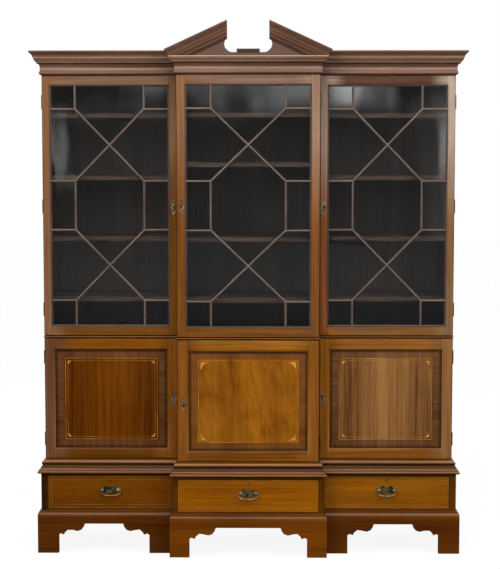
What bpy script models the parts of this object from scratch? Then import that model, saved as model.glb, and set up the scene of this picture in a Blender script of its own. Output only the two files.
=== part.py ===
"""Breakfront bookcase: glazed upper case and cornice over a cupboard and three drawers.

Metres, +Z up. The front faces -Y, the origin is under the middle of the overall box.
A projection is how far a moulding stands out of the plane of the door faces or the ends.
"""

import math

import bmesh
import bpy
from mathutils.geometry import tessellate_polygon

# Overall plan
HALF_WIDTH = 0.927
CENTRE_HALF = 0.320
CASE_DEPTH = 0.380
BREAK = 0.073
BOARD = 0.022
BACK_BOARD = 0.010
BACK_FRAME = 0.070
BACK_PANEL_RECESS = 0.004
BACK_COLUMNS = 6
BACK_RAIL = 0.024
FIT = 0.0003
OVERRUN = 0.010

# Plinth
PLINTH_FACE_HEIGHT = 0.173
PLINTH_MOULD_HEIGHT = 0.023
PLINTH_PROJECTION = 0.035
PLINTH_WALL = 0.026
APRON_HEIGHT = 0.136
BRACKET_LENGTH = 0.120
END_BRACKET_SHARE = 0.4734
BRACKET_DROP = 0.051
FOOT_OUTER = 0.095
FOOT_BREAK = 0.097
FOOT_CENTRE = 0.089
FOOT_SIDE = 0.092
FOOT_BACK = 0.120
BRACKET_SHARES = [(0.0, 0.0), (0.085, 0.11), (0.20, 0.0), (0.257, 0.235), (0.372, 0.47), (0.537, 0.425),
                  (0.725, 0.32), (0.87, 0.443), (0.955, 0.70), (1.0, 1.0)]
PLINTH_MOULD_SHARES = [(1.0, 0.0), (0.93, 0.35), (0.72, 0.68), (0.35, 0.86), (0.12, 0.90), (0.05, 1.0)]

# Drawer case and the moulded board that covers it
BASE_PROJECTION = 0.019
DRAWER_CASE_HEIGHT = 0.1685
CASE_SHELL = 0.010
BASE_STILE = 0.032
BASE_BREAK_STILE = 0.006
BASE_CENTRE_STILE = 0.0205
BASE_TOP_HEIGHT = 0.0395
BASE_TOP_PROJECTION = 0.0345
BASE_TOP_SHARES = [(0.78, 0.0), (0.95, 0.07), (1.0, 0.20), (0.94, 0.30), (0.76, 0.42), (0.62, 0.58),
                   (0.52, 0.76), (0.46, 0.88), (0.38, 0.92), (0.38, 1.0)]

# Drawers and their handles
DRAWER_SIDE_CLEARANCE = 0.001
DRAWER_TOP_CLEARANCE = 0.0015
DRAWER_FRONT = 0.020
DRAWER_SIDE = 0.012
DRAWER_BOTTOM = 0.008
DRAWER_BACK_CLEARANCE = 0.012
DRAWER_SIDE_DROP = 0.014
HANDLE_RISE = 0.084
PLATE_HALF_WIDTH = 0.050
PLATE_HALF_HEIGHT = 0.021
PLATE_THICKNESS = 0.0016
POST_SPREAD = 0.0345
POST_RADIUS = 0.0042
POST_LENGTH = 0.013
POST_HEAD_RADIUS = 0.0060
POST_HEAD_LENGTH = 0.0050
BAIL_RADIUS = 0.0023
BAIL_REACH = 0.0460
BAIL_DROP = 0.0260
BAIL_STEPS = 20
BAIL_SQUARENESS = 2.6
ROUND_STEPS = 12
PLATE_SHARES = [(0.0, 0.70), (0.09, 0.86), (0.17, 0.72), (0.27, 0.78), (0.36, 1.0), (0.47, 0.96),
                (0.56, 0.62), (0.67, 0.44), (0.80, 0.52), (0.90, 0.34), (1.0, 0.28), (0.95, 0.04),
                (0.84, -0.06), (0.86, -0.30), (0.76, -0.50), (0.62, -0.46), (0.53, -0.62), (0.40, -0.80),
                (0.26, -0.74), (0.14, -0.86), (0.06, -0.82), (0.0, -1.0)]

# Cupboard
THUMB_HEIGHT = 0.0245
THUMB_PROJECTION = 0.0165
THUMB_SHARES = [(0.72, 0.0), (0.90, 0.10), (1.0, 0.28), (0.95, 0.44), (0.70, 0.66), (0.32, 0.88), (0.02, 1.0)]
CUPBOARD_HEIGHT = 0.5576
WAIST_HEIGHT = 0.0074
WAIST_PROJECTION = 0.0035
WAIST_SHARES = [(0.0, 0.0), (0.55, 0.06), (0.55, 0.26), (1.0, 0.40), (1.0, 0.62), (0.55, 0.76), (0.55, 0.94),
                (0.0, 1.0)]

# Upper case
UPPER_HEIGHT = 1.1745
FLOOR_BOARD = 0.020
SHELF_BOARD = 0.020
SHELF_SETBACK = 0.012
GROOVE = 0.005
SIDE_SHELF_SHARES = [0.1409, 0.3751, 0.6092, 0.8476]
CENTRE_SHELF_SHARES = [0.1409, 0.3751, 0.6603, 0.8476]

# Doors
DOOR_THICKNESS = 0.022
DOOR_GAP = 0.0005
DOOR_END_CLEARANCE = 0.002
BREAK_GAP = 0.0025
LOWER_STILE = 0.050
LOWER_CENTRE_STILE = 0.055
LOWER_TOP_RAIL = 0.055
LOWER_BOTTOM_RAIL = 0.050
UPPER_STILE = 0.0345
UPPER_CENTRE_STILE = 0.040
UPPER_TOP_RAIL = 0.043
UPPER_BOTTOM_RAIL = 0.043
SASH_BEAD = 0.004
SASH_BEAD_DEPTH = 0.002
GLASS_REBATE = 0.007
GLASS = 0.003
LATTICE_RECESS = 0.0028
LATTICE_DEPTH = 0.0065
BAR_HALF_WIDTH = 0.0055
BAR_SHARES = [(1.0, 0.0), (1.0, 0.35), (0.80, 0.78), (0.36, 1.0)]
BAR_INSET = 0.1125
BAR_ROW_SHARES = [0.1375, 0.4091, 0.5964, 0.8706]
PANEL_MOULD = 0.010
PANEL_MOULD_DEPTH = 0.008
PANEL_MOULD_SHARES = [(1.0, 0.0), (0.86, 0.16), (0.52, 0.24), (0.28, 0.50), (0.22, 0.82), (0.0, 1.0)]
PANEL_TONGUE = 0.006
PANEL_GROOVE = 0.006
PANEL_BACK = 0.006
PANEL_BORDER = 0.027
PANEL_RAISE = 0.003
KNUCKLE_RADIUS = 0.004
KNUCKLE_OFFSET = 0.0025
KNUCKLE_LENGTH = 0.062
KNUCKLE_RECESS = 0.0047
LOWER_HINGE_SHARES = [0.16, 0.84]
UPPER_HINGE_SHARES = [0.10, 0.50, 0.90]

# Cornice and broken pediment
CORNICE_HEIGHT = 0.105
CORNICE_PROJECTION = 0.050
CORNICE_WALL = 0.024
CROWN_SEAT = 0.003
CROWN_START_SHARE = 0.75
CORNICE_LOWER_SHARES = [(0.02, 0.0), (0.12, 0.01), (0.20, 0.05), (0.21, 0.11), (0.14, 0.16), (0.13, 0.33),
                        (0.17, 0.41), (0.29, 0.47), (0.42, 0.49), (0.42, 0.55), (0.50, 0.56), (0.60, 0.62),
                        (0.62, 0.69), (0.68, 0.70), (0.68, CROWN_START_SHARE)]
CROWN_SHARES = [(0.71, 0.755), (0.73, 0.80), (0.80, 0.85), (0.90, 0.875), (0.945, 0.92), (1.0, 0.925),
                (1.0, 1.0)]
RAKE_BED_SHARES = [(0.17, 0.41), (0.29, 0.47), (0.42, 0.49), (0.42, 0.55), (0.50, 0.56), (0.60, 0.62),
                   (0.62, 0.69), (0.68, 0.70)]
PEDIMENT_RISE = 0.127
PEDIMENT_OPENING = 0.093
TYMPANUM_BOARD = 0.022
TYMPANUM_PROJECTION = 0.007
TYMPANUM_TOP_INSET = 0.001
SCROLL_HEIGHT = 0.062
SCROLL_FLOOR = 0.016
BLOCK_HALF = 0.051
BLOCK_HEIGHT = 0.015
BLOCK_PROUD = 0.004
SCROLL_SHARES = [(1.0, 1.0), (1.10, 0.86), (1.145, 0.60), (1.10, 0.33), (1.0, 0.15), (0.88, 0.03),
                 (0.79, 0.0)]

# Planes worked out from the sizes above
DEPTH = CASE_DEPTH + DOOR_GAP + DOOR_THICKNESS + BREAK + CORNICE_PROJECTION
Y_BACK = DEPTH / 2
Y_SIDE_EDGE = Y_BACK - CASE_DEPTH
Y_SIDE = Y_SIDE_EDGE - DOOR_GAP - DOOR_THICKNESS
Y_CENTRE_EDGE = Y_SIDE_EDGE - BREAK
Y_CENTRE = Y_SIDE - BREAK
Z_PLINTH = PLINTH_FACE_HEIGHT + PLINTH_MOULD_HEIGHT
Z_CASE = Z_PLINTH + FIT
Z_BASE_TOP = Z_CASE + DRAWER_CASE_HEIGHT + FIT
Z_THUMB = Z_BASE_TOP + BASE_TOP_HEIGHT + FIT
Z_CUPBOARD = Z_THUMB + THUMB_HEIGHT
Z_WAIST = Z_CUPBOARD + CUPBOARD_HEIGHT
Z_UPPER = Z_WAIST + WAIST_HEIGHT + FIT
Z_CORNICE = Z_UPPER + UPPER_HEIGHT
Z_CROWN = Z_CORNICE + CROWN_START_SHARE * CORNICE_HEIGHT
Z_CORNICE_TOP = Z_CORNICE + CORNICE_HEIGHT
PARTITION_INNER = CENTRE_HALF - BOARD


def wood_material(name, colour, roughness):
    material = bpy.data.materials.new(name)
    material.use_nodes = True
    shader = material.node_tree.nodes["Principled BSDF"]
    shader.inputs["Base Color"].default_value = (*colour, 1.0)
    shader.inputs["Roughness"].default_value = roughness
    return material


def metal_material(name, colour, roughness):
    material = wood_material(name, colour, roughness)
    material.node_tree.nodes["Principled BSDF"].inputs["Metallic"].default_value = 1.0
    return material


def glass_material(name, colour, roughness):
    material = wood_material(name, colour, roughness)
    material.node_tree.nodes["Principled BSDF"].inputs["Transmission Weight"].default_value = 1.0
    return material


def clear_scene():
    for item in list(bpy.data.objects):
        bpy.data.objects.remove(item, do_unlink=True)


def add_object(name, bm, material=None, place=(0.0, 0.0, 0.0)):
    """Turn a bmesh in world coordinates into an object whose origin is at place."""
    bmesh.ops.recalc_face_normals(bm, faces=bm.faces)
    bmesh.ops.translate(bm, verts=bm.verts, vec=[-value for value in place])
    mesh = bpy.data.meshes.new(name)
    bm.to_mesh(mesh)
    bm.free()
    item = bpy.data.objects.new(name, mesh)
    item.location = place
    bpy.context.collection.objects.link(item)
    if material is None:
        item.hide_render = True
        item.display_type = "WIRE"
    else:
        mesh.materials.append(material)
    return item


def skin(bm, rings, closed=False):
    """Join rings of points with quads; an open run gets a cap at each end."""
    loops = [[bm.verts.new(point) for point in ring] for ring in rings]
    pairs = list(zip(loops, loops[1:]))
    if closed:
        pairs.append((loops[-1], loops[0]))
    for low, high in pairs:
        for i in range(len(low)):
            j = (i + 1) % len(low)
            bm.faces.new((low[i], low[j], high[j], high[i]))
    if not closed:
        bm.faces.new(loops[0])
        bm.faces.new(loops[-1])


def box(bm, x_span, y_span, z_span):
    plan = [(x_span[0], y_span[0]), (x_span[1], y_span[0]), (x_span[1], y_span[1]), (x_span[0], y_span[1])]
    skin(bm, [[(x, y, z) for x, y in plan] for z in z_span])


def board(name, x_span, y_span, z_span, material):
    bm = bmesh.new()
    box(bm, x_span, y_span, z_span)
    return add_object(name, bm, material)


def boolean(item, tool, operation):
    modifier = item.modifiers.new(operation.lower(), "BOOLEAN")
    modifier.operation = operation
    modifier.object = tool


def cut_boxes(item, label, spans):
    """Cut several boxes that stand apart, each three spans, out of an object."""
    bm = bmesh.new()
    for span in spans:
        box(bm, *span)
    boolean(item, add_object(f"{item.name}_{label}", bm), "DIFFERENCE")


def breakfront(projection, back_inset=0.0, front=None):
    """Plan outline of the case: centre bay forward of the two side bays."""
    front = projection if front is None else front
    wide = HALF_WIDTH + projection
    centre = CENTRE_HALF + projection
    back = Y_BACK - back_inset
    return [(wide, back), (-wide, back), (-wide, Y_SIDE - front), (-centre, Y_SIDE - front),
            (-centre, Y_CENTRE - front), (centre, Y_CENTRE - front), (centre, Y_SIDE - front),
            (wide, Y_SIDE - front)]


def ring_at(outline, z):
    return [(x, y, z) for x, y in outline]


def profile(shares, projection, height, z, base=0.0):
    """Profile points as (projection, height) from shares of a moulding's two sizes."""
    return [(base + across * (projection - base), z + up * height) for across, up in shares]


def moulded_board(name, points, material):
    bm = bmesh.new()
    skin(bm, [ring_at(breakfront(out), z) for out, z in points])
    return add_object(name, bm, material)


def moulded_frame(name, points, inner, material):
    """A hollow breakfront frame: moulded outside, with a plain inside wall at projection inner."""
    bm = bmesh.new()
    inside = breakfront(inner, BACK_RAIL)
    rings = [ring_at(breakfront(out), z) for out, z in points]
    rings += [ring_at(inside, points[-1][1]), ring_at(inside, points[0][1])]
    skin(bm, rings, closed=True)
    return add_object(name, bm, material)


def carcass_board(name, z, thickness, material):
    """A flat board on the carcass plan, its front edge behind the doors."""
    bm = bmesh.new()
    outline = breakfront(0.0, front=-(DOOR_THICKNESS + DOOR_GAP))
    skin(bm, [ring_at(outline, z), ring_at(outline, z + thickness)])
    return add_object(name, bm, material)


def bracket_outline(start, end, length):
    """Outline of a gap between two bracket feet of one length, from the floor up to the apron."""
    spring = APRON_HEIGHT - BRACKET_DROP
    rising = [(start + along * length, spring + up * BRACKET_DROP) for along, up in BRACKET_SHARES]
    falling = [(start + end - across, z) for across, z in reversed(rising)]
    return [(start, -OVERRUN)] + rising + falling + [(end, -OVERRUN)]


def add_plinth(material):
    top = profile(PLINTH_MOULD_SHARES, PLINTH_PROJECTION, PLINTH_MOULD_HEIGHT, PLINTH_FACE_HEIGHT,
                  BASE_PROJECTION)
    points = [(PLINTH_PROJECTION, 0.0)] + top
    plinth = moulded_frame("plinth", points, PLINTH_PROJECTION - PLINTH_WALL, material)
    outer = HALF_WIDTH + PLINTH_PROJECTION
    side_front = Y_SIDE - PLINTH_PROJECTION
    centre_front = Y_CENTRE - PLINTH_PROJECTION
    break_line = CENTRE_HALF + PLINTH_PROJECTION
    bays = [(break_line + FOOT_BREAK, outer - FOOT_OUTER, side_front),
            (-(outer - FOOT_OUTER), -(break_line + FOOT_BREAK), side_front),
            (-(break_line - FOOT_CENTRE), break_line - FOOT_CENTRE, centre_front)]
    for number, (start, end, front) in enumerate(bays, 1):
        bm = bmesh.new()
        outline = bracket_outline(start, end, BRACKET_LENGTH)
        skin(bm, [[(x, y, z) for x, z in outline] for y in (front - OVERRUN, front + PLINTH_WALL + OVERRUN)])
        boolean(plinth, add_object(f"plinth_gap_{number}", bm), "DIFFERENCE")
    bm = bmesh.new()
    gap = Y_BACK - side_front - 2 * FOOT_SIDE
    outline = bracket_outline(side_front + FOOT_SIDE, Y_BACK - FOOT_SIDE, gap * END_BRACKET_SHARE)
    skin(bm, [[(x, y, z) for y, z in outline] for x in (-(outer + OVERRUN), outer + OVERRUN)])
    boolean(plinth, add_object("plinth_gap_ends", bm), "DIFFERENCE")
    cut_boxes(plinth, "gap_back", [((-(outer - FOOT_BACK), outer - FOOT_BACK),
                                    (Y_BACK - BACK_RAIL - OVERRUN, Y_BACK + OVERRUN),
                                    (-OVERRUN, APRON_HEIGHT))])


def drawer_bays():
    """Left, centre and right drawer openings as (name, x span, front plane)."""
    side_front = Y_SIDE - BASE_PROJECTION
    outer = HALF_WIDTH + BASE_PROJECTION - BASE_STILE
    break_line = CENTRE_HALF + BASE_PROJECTION
    inner = break_line + BASE_BREAK_STILE
    middle = break_line - BASE_CENTRE_STILE
    return [("left", (-outer, -inner), side_front),
            ("centre", (-middle, middle), Y_CENTRE - BASE_PROJECTION),
            ("right", (inner, outer), side_front)]


def add_drawer_case(material, back_material):
    """Bottom and uprights of three drawer bays, and the boards that close them at the back and top."""
    top = Z_CASE + DRAWER_CASE_HEIGHT
    levels = (Z_CASE, top - CASE_SHELL - FIT)
    case = moulded_board("drawer_case", [(BASE_PROJECTION, z) for z in levels], material)
    floor = Z_CASE + CASE_SHELL
    bays = [(across, (front - OVERRUN, Y_BACK + OVERRUN), (floor, top)) for _, across, front in drawer_bays()]
    cut_boxes(case, "bays", bays)
    half = HALF_WIDTH + BASE_PROJECTION - BOARD
    behind = (Y_BACK - BACK_BOARD - FIT, Y_BACK + OVERRUN)
    cut_boxes(case, "rebate", [((-half, half), behind, (floor, top))])
    board("drawer_case_back", (FIT - half, half - FIT), (Y_BACK - BACK_BOARD, Y_BACK),
          (floor + FIT, levels[1]), back_material)
    moulded_board("drawer_case_top", [(BASE_PROJECTION, top - CASE_SHELL), (BASE_PROJECTION, top)], material)


def add_drawer(name, across, front, material):
    """Drawer box in one piece with its front; the sides and the back stand lower than the front."""
    low = Z_CASE + CASE_SHELL + FIT
    high = Z_CASE + DRAWER_CASE_HEIGHT - CASE_SHELL - DRAWER_TOP_CLEARANCE
    x_span = (across[0] + DRAWER_SIDE_CLEARANCE, across[1] - DRAWER_SIDE_CLEARANCE)
    back = Y_BACK - BACK_BOARD - DRAWER_BACK_CLEARANCE
    drawer = board(f"drawer_{name}", x_span, (front, back), (low, high), material)
    inside = (x_span[0] + DRAWER_SIDE, x_span[1] - DRAWER_SIDE)
    outside = (x_span[0] - OVERRUN, x_span[1] + OVERRUN)
    behind = front + DRAWER_FRONT
    above = high + OVERRUN
    cut_boxes(drawer, "hollow", [(inside, (behind, back - DRAWER_SIDE), (low + DRAWER_BOTTOM, above))])
    cut_boxes(drawer, "above_sides", [(outside, (behind, back + OVERRUN), (high - DRAWER_SIDE_DROP, above))])


def plate_outline():
    right = [(across * PLATE_HALF_WIDTH, up * PLATE_HALF_HEIGHT) for across, up in PLATE_SHARES]
    left = [(-x, z) for x, z in reversed(right[1:-1])]
    return right + left


def circle(radius, steps):
    return [(radius * math.cos(math.tau * i / steps), radius * math.sin(math.tau * i / steps))
            for i in range(steps)]


def add_handle(name, x, face, material):
    """Batwing plate with two turned posts, and the swan-neck bail that swings in them."""
    z = Z_CASE + HANDLE_RISE + CASE_SHELL
    seat = face - FIT
    bm = bmesh.new()
    outline = plate_outline()
    skin(bm, [[(x + dx, y, z + dz) for dx, dz in outline] for y in (seat, seat - PLATE_THICKNESS)])
    plate = add_object(f"handle_plate_{name}", bm, material)
    root = seat - PLATE_THICKNESS / 2
    collar = seat - PLATE_THICKNESS - POST_LENGTH
    head = collar - POST_HEAD_LENGTH
    for side in (-1, 1):
        bm = bmesh.new()
        stations = [(POST_RADIUS, root), (POST_RADIUS, collar),
                    (POST_HEAD_RADIUS, collar - POST_HEAD_LENGTH / 5),
                    (POST_HEAD_RADIUS, head + POST_HEAD_LENGTH / 3), (POST_HEAD_RADIUS / 2, head)]
        rings = [[(x + side * POST_SPREAD + dx, y, z + dz) for dx, dz in circle(radius, ROUND_STEPS)]
                 for radius, y in stations]
        skin(bm, rings)
        boolean(plate, add_object(f"handle_post_{name}_{side}", bm), "UNION")
    axis = (x, collar + POST_LENGTH / 3, z)
    add_bail(f"bail_{name}", axis, material)


def bail_route():
    """Half a super-ellipse hung from two short pins that point into the posts."""
    pin = POST_SPREAD + POST_RADIUS + FIT
    power = 2.0 / BAIL_SQUARENESS
    route = [(-pin, 0.0)]
    for step in range(BAIL_STEPS + 1):
        angle = math.pi * step / BAIL_STEPS
        across = -math.copysign(abs(math.cos(angle)) ** power, math.cos(angle))
        down = abs(math.sin(angle)) ** power
        route.append((across * BAIL_REACH, -down * BAIL_DROP))
    route.append((pin, 0.0))
    return route


def add_bail(name, axis, material):
    curve = bpy.data.curves.new(name, "CURVE")
    curve.dimensions = "3D"
    route = bail_route()
    spline = curve.splines.new("POLY")
    spline.points.add(len(route) - 1)
    for point, (x, z) in zip(spline.points, route):
        point.co = (x, 0.0, z, 1.0)
    curve.bevel_depth = BAIL_RADIUS
    curve.bevel_resolution = 2
    curve.use_fill_caps = True
    curve.materials.append(material)
    item = bpy.data.objects.new(name, curve)
    item.location = axis
    bpy.context.collection.objects.link(item)


def knuckle_places(low, high, shares):
    middle = [low + share * (high - low) for share in shares]
    return [(z - KNUCKLE_LENGTH / 2, z + KNUCKLE_LENGTH / 2) for z in middle]


def knuckle_cuts(corner_x, outward, edge, places):
    """Boxes that let hinge knuckles into the front corner of an upright."""
    inner = corner_x - outward * KNUCKLE_RECESS
    outer = corner_x + outward * OVERRUN
    x_span = (min(inner, outer), max(inner, outer))
    y_span = (edge - OVERRUN, edge + KNUCKLE_RECESS)
    return [(x_span, y_span, (low - FIT, high + FIT)) for low, high in places]


def groove_cuts(face, outward, heights, z_base, front):
    """Housings for shelves in one face of an upright; outward points into the bay."""
    inner = face - outward * GROOVE
    outer = face + outward * OVERRUN
    x_span = (min(inner, outer), max(inner, outer))
    half = SHELF_BOARD / 2 + FIT
    return [(x_span, (front, Y_BACK + OVERRUN), (z_base + z - half, z_base + z + half)) for z in heights]


def add_uprights(level, z_span, side_heights, centre_heights, z_base, hinges, material):
    """Two ends and two partitions of a carcass, housed for the shelves and let in for the hinges."""
    for name, side in (("left", -1), ("right", 1)):
        outer = side * HALF_WIDTH
        inner = side * (HALF_WIDTH - BOARD)
        end = board(f"{level}_end_{name}", (min(outer, inner), max(outer, inner)), (Y_SIDE_EDGE, Y_BACK),
                    z_span, material)
        cuts = groove_cuts(inner, -side, side_heights, z_base, Y_SIDE_EDGE + SHELF_SETBACK)
        cuts += knuckle_cuts(outer, side, Y_SIDE_EDGE, hinges)
        cut_boxes(end, "housings", cuts)

        outer = side * CENTRE_HALF
        inner = side * PARTITION_INNER
        partition = board(f"{level}_partition_{name}", (min(outer, inner), max(outer, inner)),
                          (Y_CENTRE_EDGE, Y_BACK - BACK_BOARD - FIT), z_span, material)
        cuts = groove_cuts(outer, side, side_heights, z_base, Y_SIDE_EDGE + SHELF_SETBACK)
        cuts += groove_cuts(inner, -side, centre_heights, z_base, Y_CENTRE_EDGE + SHELF_SETBACK)
        if side > 0:
            cuts += knuckle_cuts(outer, side, Y_CENTRE_EDGE, hinges)
        if cuts:
            cut_boxes(partition, "housings", cuts)


def add_shelves(side_heights, centre_heights, z_base, material):
    """Upper shelves, each pushed into its housings from the front."""
    reach = GROOVE - FIT
    side_span = (CENTRE_HALF - reach, HALF_WIDTH - BOARD + reach)
    centre_span = (-(PARTITION_INNER + reach), PARTITION_INNER + reach)
    bays = [("left", (-side_span[1], -side_span[0]), Y_SIDE_EDGE, side_heights),
            ("centre", centre_span, Y_CENTRE_EDGE, centre_heights),
            ("right", side_span, Y_SIDE_EDGE, side_heights)]
    for name, across, edge, heights in bays:
        for number, height in enumerate(heights, 1):
            middle = z_base + height
            board(f"shelf_{name}_{number}", across,
                  (edge + SHELF_SETBACK + FIT, Y_BACK - BACK_BOARD - FIT),
                  (middle - SHELF_BOARD / 2, middle + SHELF_BOARD / 2), material)


def add_back(name, z_span, rows, material):
    """Back boarding, framed up in rows and columns of recessed panels."""
    half = HALF_WIDTH - BOARD - FIT
    back = board(name, (-half, half), (Y_BACK - BACK_BOARD, Y_BACK), z_span, material)
    wide = (2 * half - BACK_FRAME) / BACK_COLUMNS
    tall = (z_span[1] - z_span[0] - BACK_FRAME) / rows
    cells = []
    for column in range(BACK_COLUMNS):
        for row in range(rows):
            x1 = column * wide + wide - half
            z1 = row * tall + tall + z_span[0]
            cells.append(((x1 - wide + BACK_FRAME, x1), (Y_BACK - BACK_PANEL_RECESS, Y_BACK + OVERRUN),
                          (z1 - tall + BACK_FRAME, z1)))
    cut_boxes(back, "panels", cells)


def door_bays():
    """Doors as (name, x span, face plane, carcass edge plane, side of the hinge)."""
    inner = CENTRE_HALF + BREAK_GAP
    return [("left", (-HALF_WIDTH, -inner), Y_SIDE, Y_SIDE_EDGE, -1),
            ("centre", (-CENTRE_HALF, CENTRE_HALF), Y_CENTRE, Y_CENTRE_EDGE, 1),
            ("right", (inner, HALF_WIDTH), Y_SIDE, Y_SIDE_EDGE, 1)]


def rectangle(x_span, z_span, grow, y):
    """Four corners of a rectangle in a plane of the front, grown on every side."""
    x0, x1 = x_span[0] - grow, x_span[1] + grow
    z0, z1 = z_span[0] - grow, z_span[1] + grow
    return [(x0, y, z0), (x1, y, z0), (x1, y, z1), (x0, y, z1)]


def hinge_axis(across, edge, side, z_middle):
    corner = across[1] if side > 0 else across[0]
    return (corner + side * KNUCKLE_OFFSET, edge, z_middle)


def add_door_frame(name, rings, axis, places, material):
    """A framed door leaf with its hinge knuckles; the origin lies on the hinge axis."""
    bm = bmesh.new()
    skin(bm, rings, closed=True)
    frame = add_object(name, bm, material, axis)
    bm = bmesh.new()
    for low, high in places:
        skin(bm, [[(axis[0] + dx, axis[1] + dy, z) for dx, dy in circle(KNUCKLE_RADIUS, ROUND_STEPS)]
                  for z in (low, high)])
    boolean(frame, add_object(name + "_knuckles", bm), "UNION")


def add_lower_door(name, across, face, edge, side, z_span, materials):
    """Cupboard door: grooved and moulded frame round a fielded panel."""
    back = face + DOOR_THICKNESS
    stile = LOWER_CENTRE_STILE if name == "centre" else LOWER_STILE
    sight_x = (across[0] + stile, across[1] - stile)
    sight_z = (z_span[0] + LOWER_BOTTOM_RAIL, z_span[1] - LOWER_TOP_RAIL)
    groove_front = face + PANEL_MOULD_DEPTH + (DOOR_THICKNESS - PANEL_MOULD_DEPTH - PANEL_BACK) / 4
    groove_back = groove_front + PANEL_TONGUE + 2 * FIT
    rings = [rectangle(across, z_span, 0.0, back), rectangle(across, z_span, 0.0, face)]
    rings += [rectangle(sight_x, sight_z, out * PANEL_MOULD, face + deep * PANEL_MOULD_DEPTH)
              for out, deep in PANEL_MOULD_SHARES]
    rings += [rectangle(sight_x, sight_z, 0.0, groove_front),
              rectangle(sight_x, sight_z, PANEL_GROOVE, groove_front),
              rectangle(sight_x, sight_z, PANEL_GROOVE, groove_back),
              rectangle(sight_x, sight_z, 0.0, groove_back),
              rectangle(sight_x, sight_z, 0.0, back)]
    axis = hinge_axis(across, edge, side, sum(z_span) / 2)
    places = knuckle_places(*z_span, LOWER_HINGE_SHARES)
    add_door_frame(f"lower_door_{name}", rings, axis, places, materials["door"])

    tongue = PANEL_GROOVE - FIT
    field = groove_front + FIT - PANEL_RAISE
    rings = [rectangle(sight_x, sight_z, tongue, groove_back - FIT),
             rectangle(sight_x, sight_z, tongue, groove_front + FIT),
             rectangle(sight_x, sight_z, -FIT, groove_front + FIT),
             rectangle(sight_x, sight_z, -PANEL_BORDER, field + PANEL_RAISE / 4),
             rectangle(sight_x, sight_z, -PANEL_BORDER, field)]
    bm = bmesh.new()
    skin(bm, rings)
    add_object(f"door_panel_{name}", bm, materials["panel"], axis)


def inset_polygon(points, distance):
    """Move every side of a counter-clockwise convex outline inwards by one distance."""
    count = len(points)
    lines = []
    for i in range(count):
        (x0, z0), (x1, z1) = points[i], points[(i + 1) % count]
        length = math.hypot(x1 - x0, z1 - z0)
        dx, dz = (x1 - x0) / length, (z1 - z0) / length
        lines.append((x0 - dz * distance, z0 + dx * distance, dx, dz))
    corners = []
    for i in range(count):
        ax, az, adx, adz = lines[i - 1]
        bx, bz, bdx, bdz = lines[i]
        along = ((bx - ax) * bdz - (bz - az) * bdx) / (adx * bdz - adz * bdx)
        corners.append((ax + along * adx, az + along * adz))
    return corners


def pane_outlines(x_span, z_span, rows):
    """Thirteen panes: squares and oblongs at the border, a long hexagon between two crosses."""
    left, right = x_span
    low, high = z_span
    x1, x2 = left + BAR_INSET, right - BAR_INSET
    z1, z2, z3, z4 = rows
    middle = (x1 + x2) / 2
    crosses = ((middle, (z1 + z2) / 2), (middle, (z3 + z4) / 2))
    panes = [[(x1, z2), crosses[0], (x2, z2), (x2, z3), crosses[1], (x1, z3)],
             [(x1, low), (x2, low), (x2, z1), crosses[0], (x1, z1)],
             [(x1, z4), crosses[1], (x2, z4), (x2, high), (x1, high)]]
    for z_low, z_high in ((low, z1), (z2, z3), (z4, high)):
        panes.append([(left, z_low), (x1, z_low), (x1, z_high), (left, z_high)])
        panes.append([(x2, z_low), (right, z_low), (right, z_high), (x2, z_high)])
    for (z_low, z_high), cross in zip(((z1, z2), (z3, z4)), crosses):
        panes.append([(left, z_low), (x1, z_low), cross, (x1, z_high), (left, z_high)])
        panes.append([(x2, z_low), (right, z_low), (right, z_high), (x2, z_high), cross])
    return panes


def add_lattice(name, x_span, z_span, rows, back, material, origin):
    """Astragal glazing bars: one pierced frame whose bars have a rounded, mitred front."""
    bm = bmesh.new()
    border = [(x_span[0], z_span[0]), (x_span[1], z_span[0]), (x_span[1], z_span[1]), (x_span[0], z_span[1])]
    panes = pane_outlines(x_span, z_span, rows)
    levels = [(share * BAR_HALF_WIDTH, back - up * LATTICE_DEPTH) for share, up in BAR_SHARES]
    outer = [[bm.verts.new((x, y, z)) for x, z in border] for y in (levels[0][1], levels[-1][1])]
    holes = [[[bm.verts.new((x, y, z)) for x, z in inset_polygon(pane, half)] for half, y in levels]
             for pane in panes]
    for stack in [outer] + holes:
        for low, high in zip(stack, stack[1:]):
            for i in range(len(low)):
                j = (i + 1) % len(low)
                bm.faces.new((low[i], low[j], high[j], high[i]))
    for end in (0, -1):
        loops = [outer[end]] + [stack[end] for stack in holes]
        flat = [vert for loop in loops for vert in loop]
        for triangle in tessellate_polygon([[vert.co for vert in loop] for loop in loops]):
            bm.faces.new([flat[i] for i in triangle])
    add_object(name, bm, material, origin)


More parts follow.
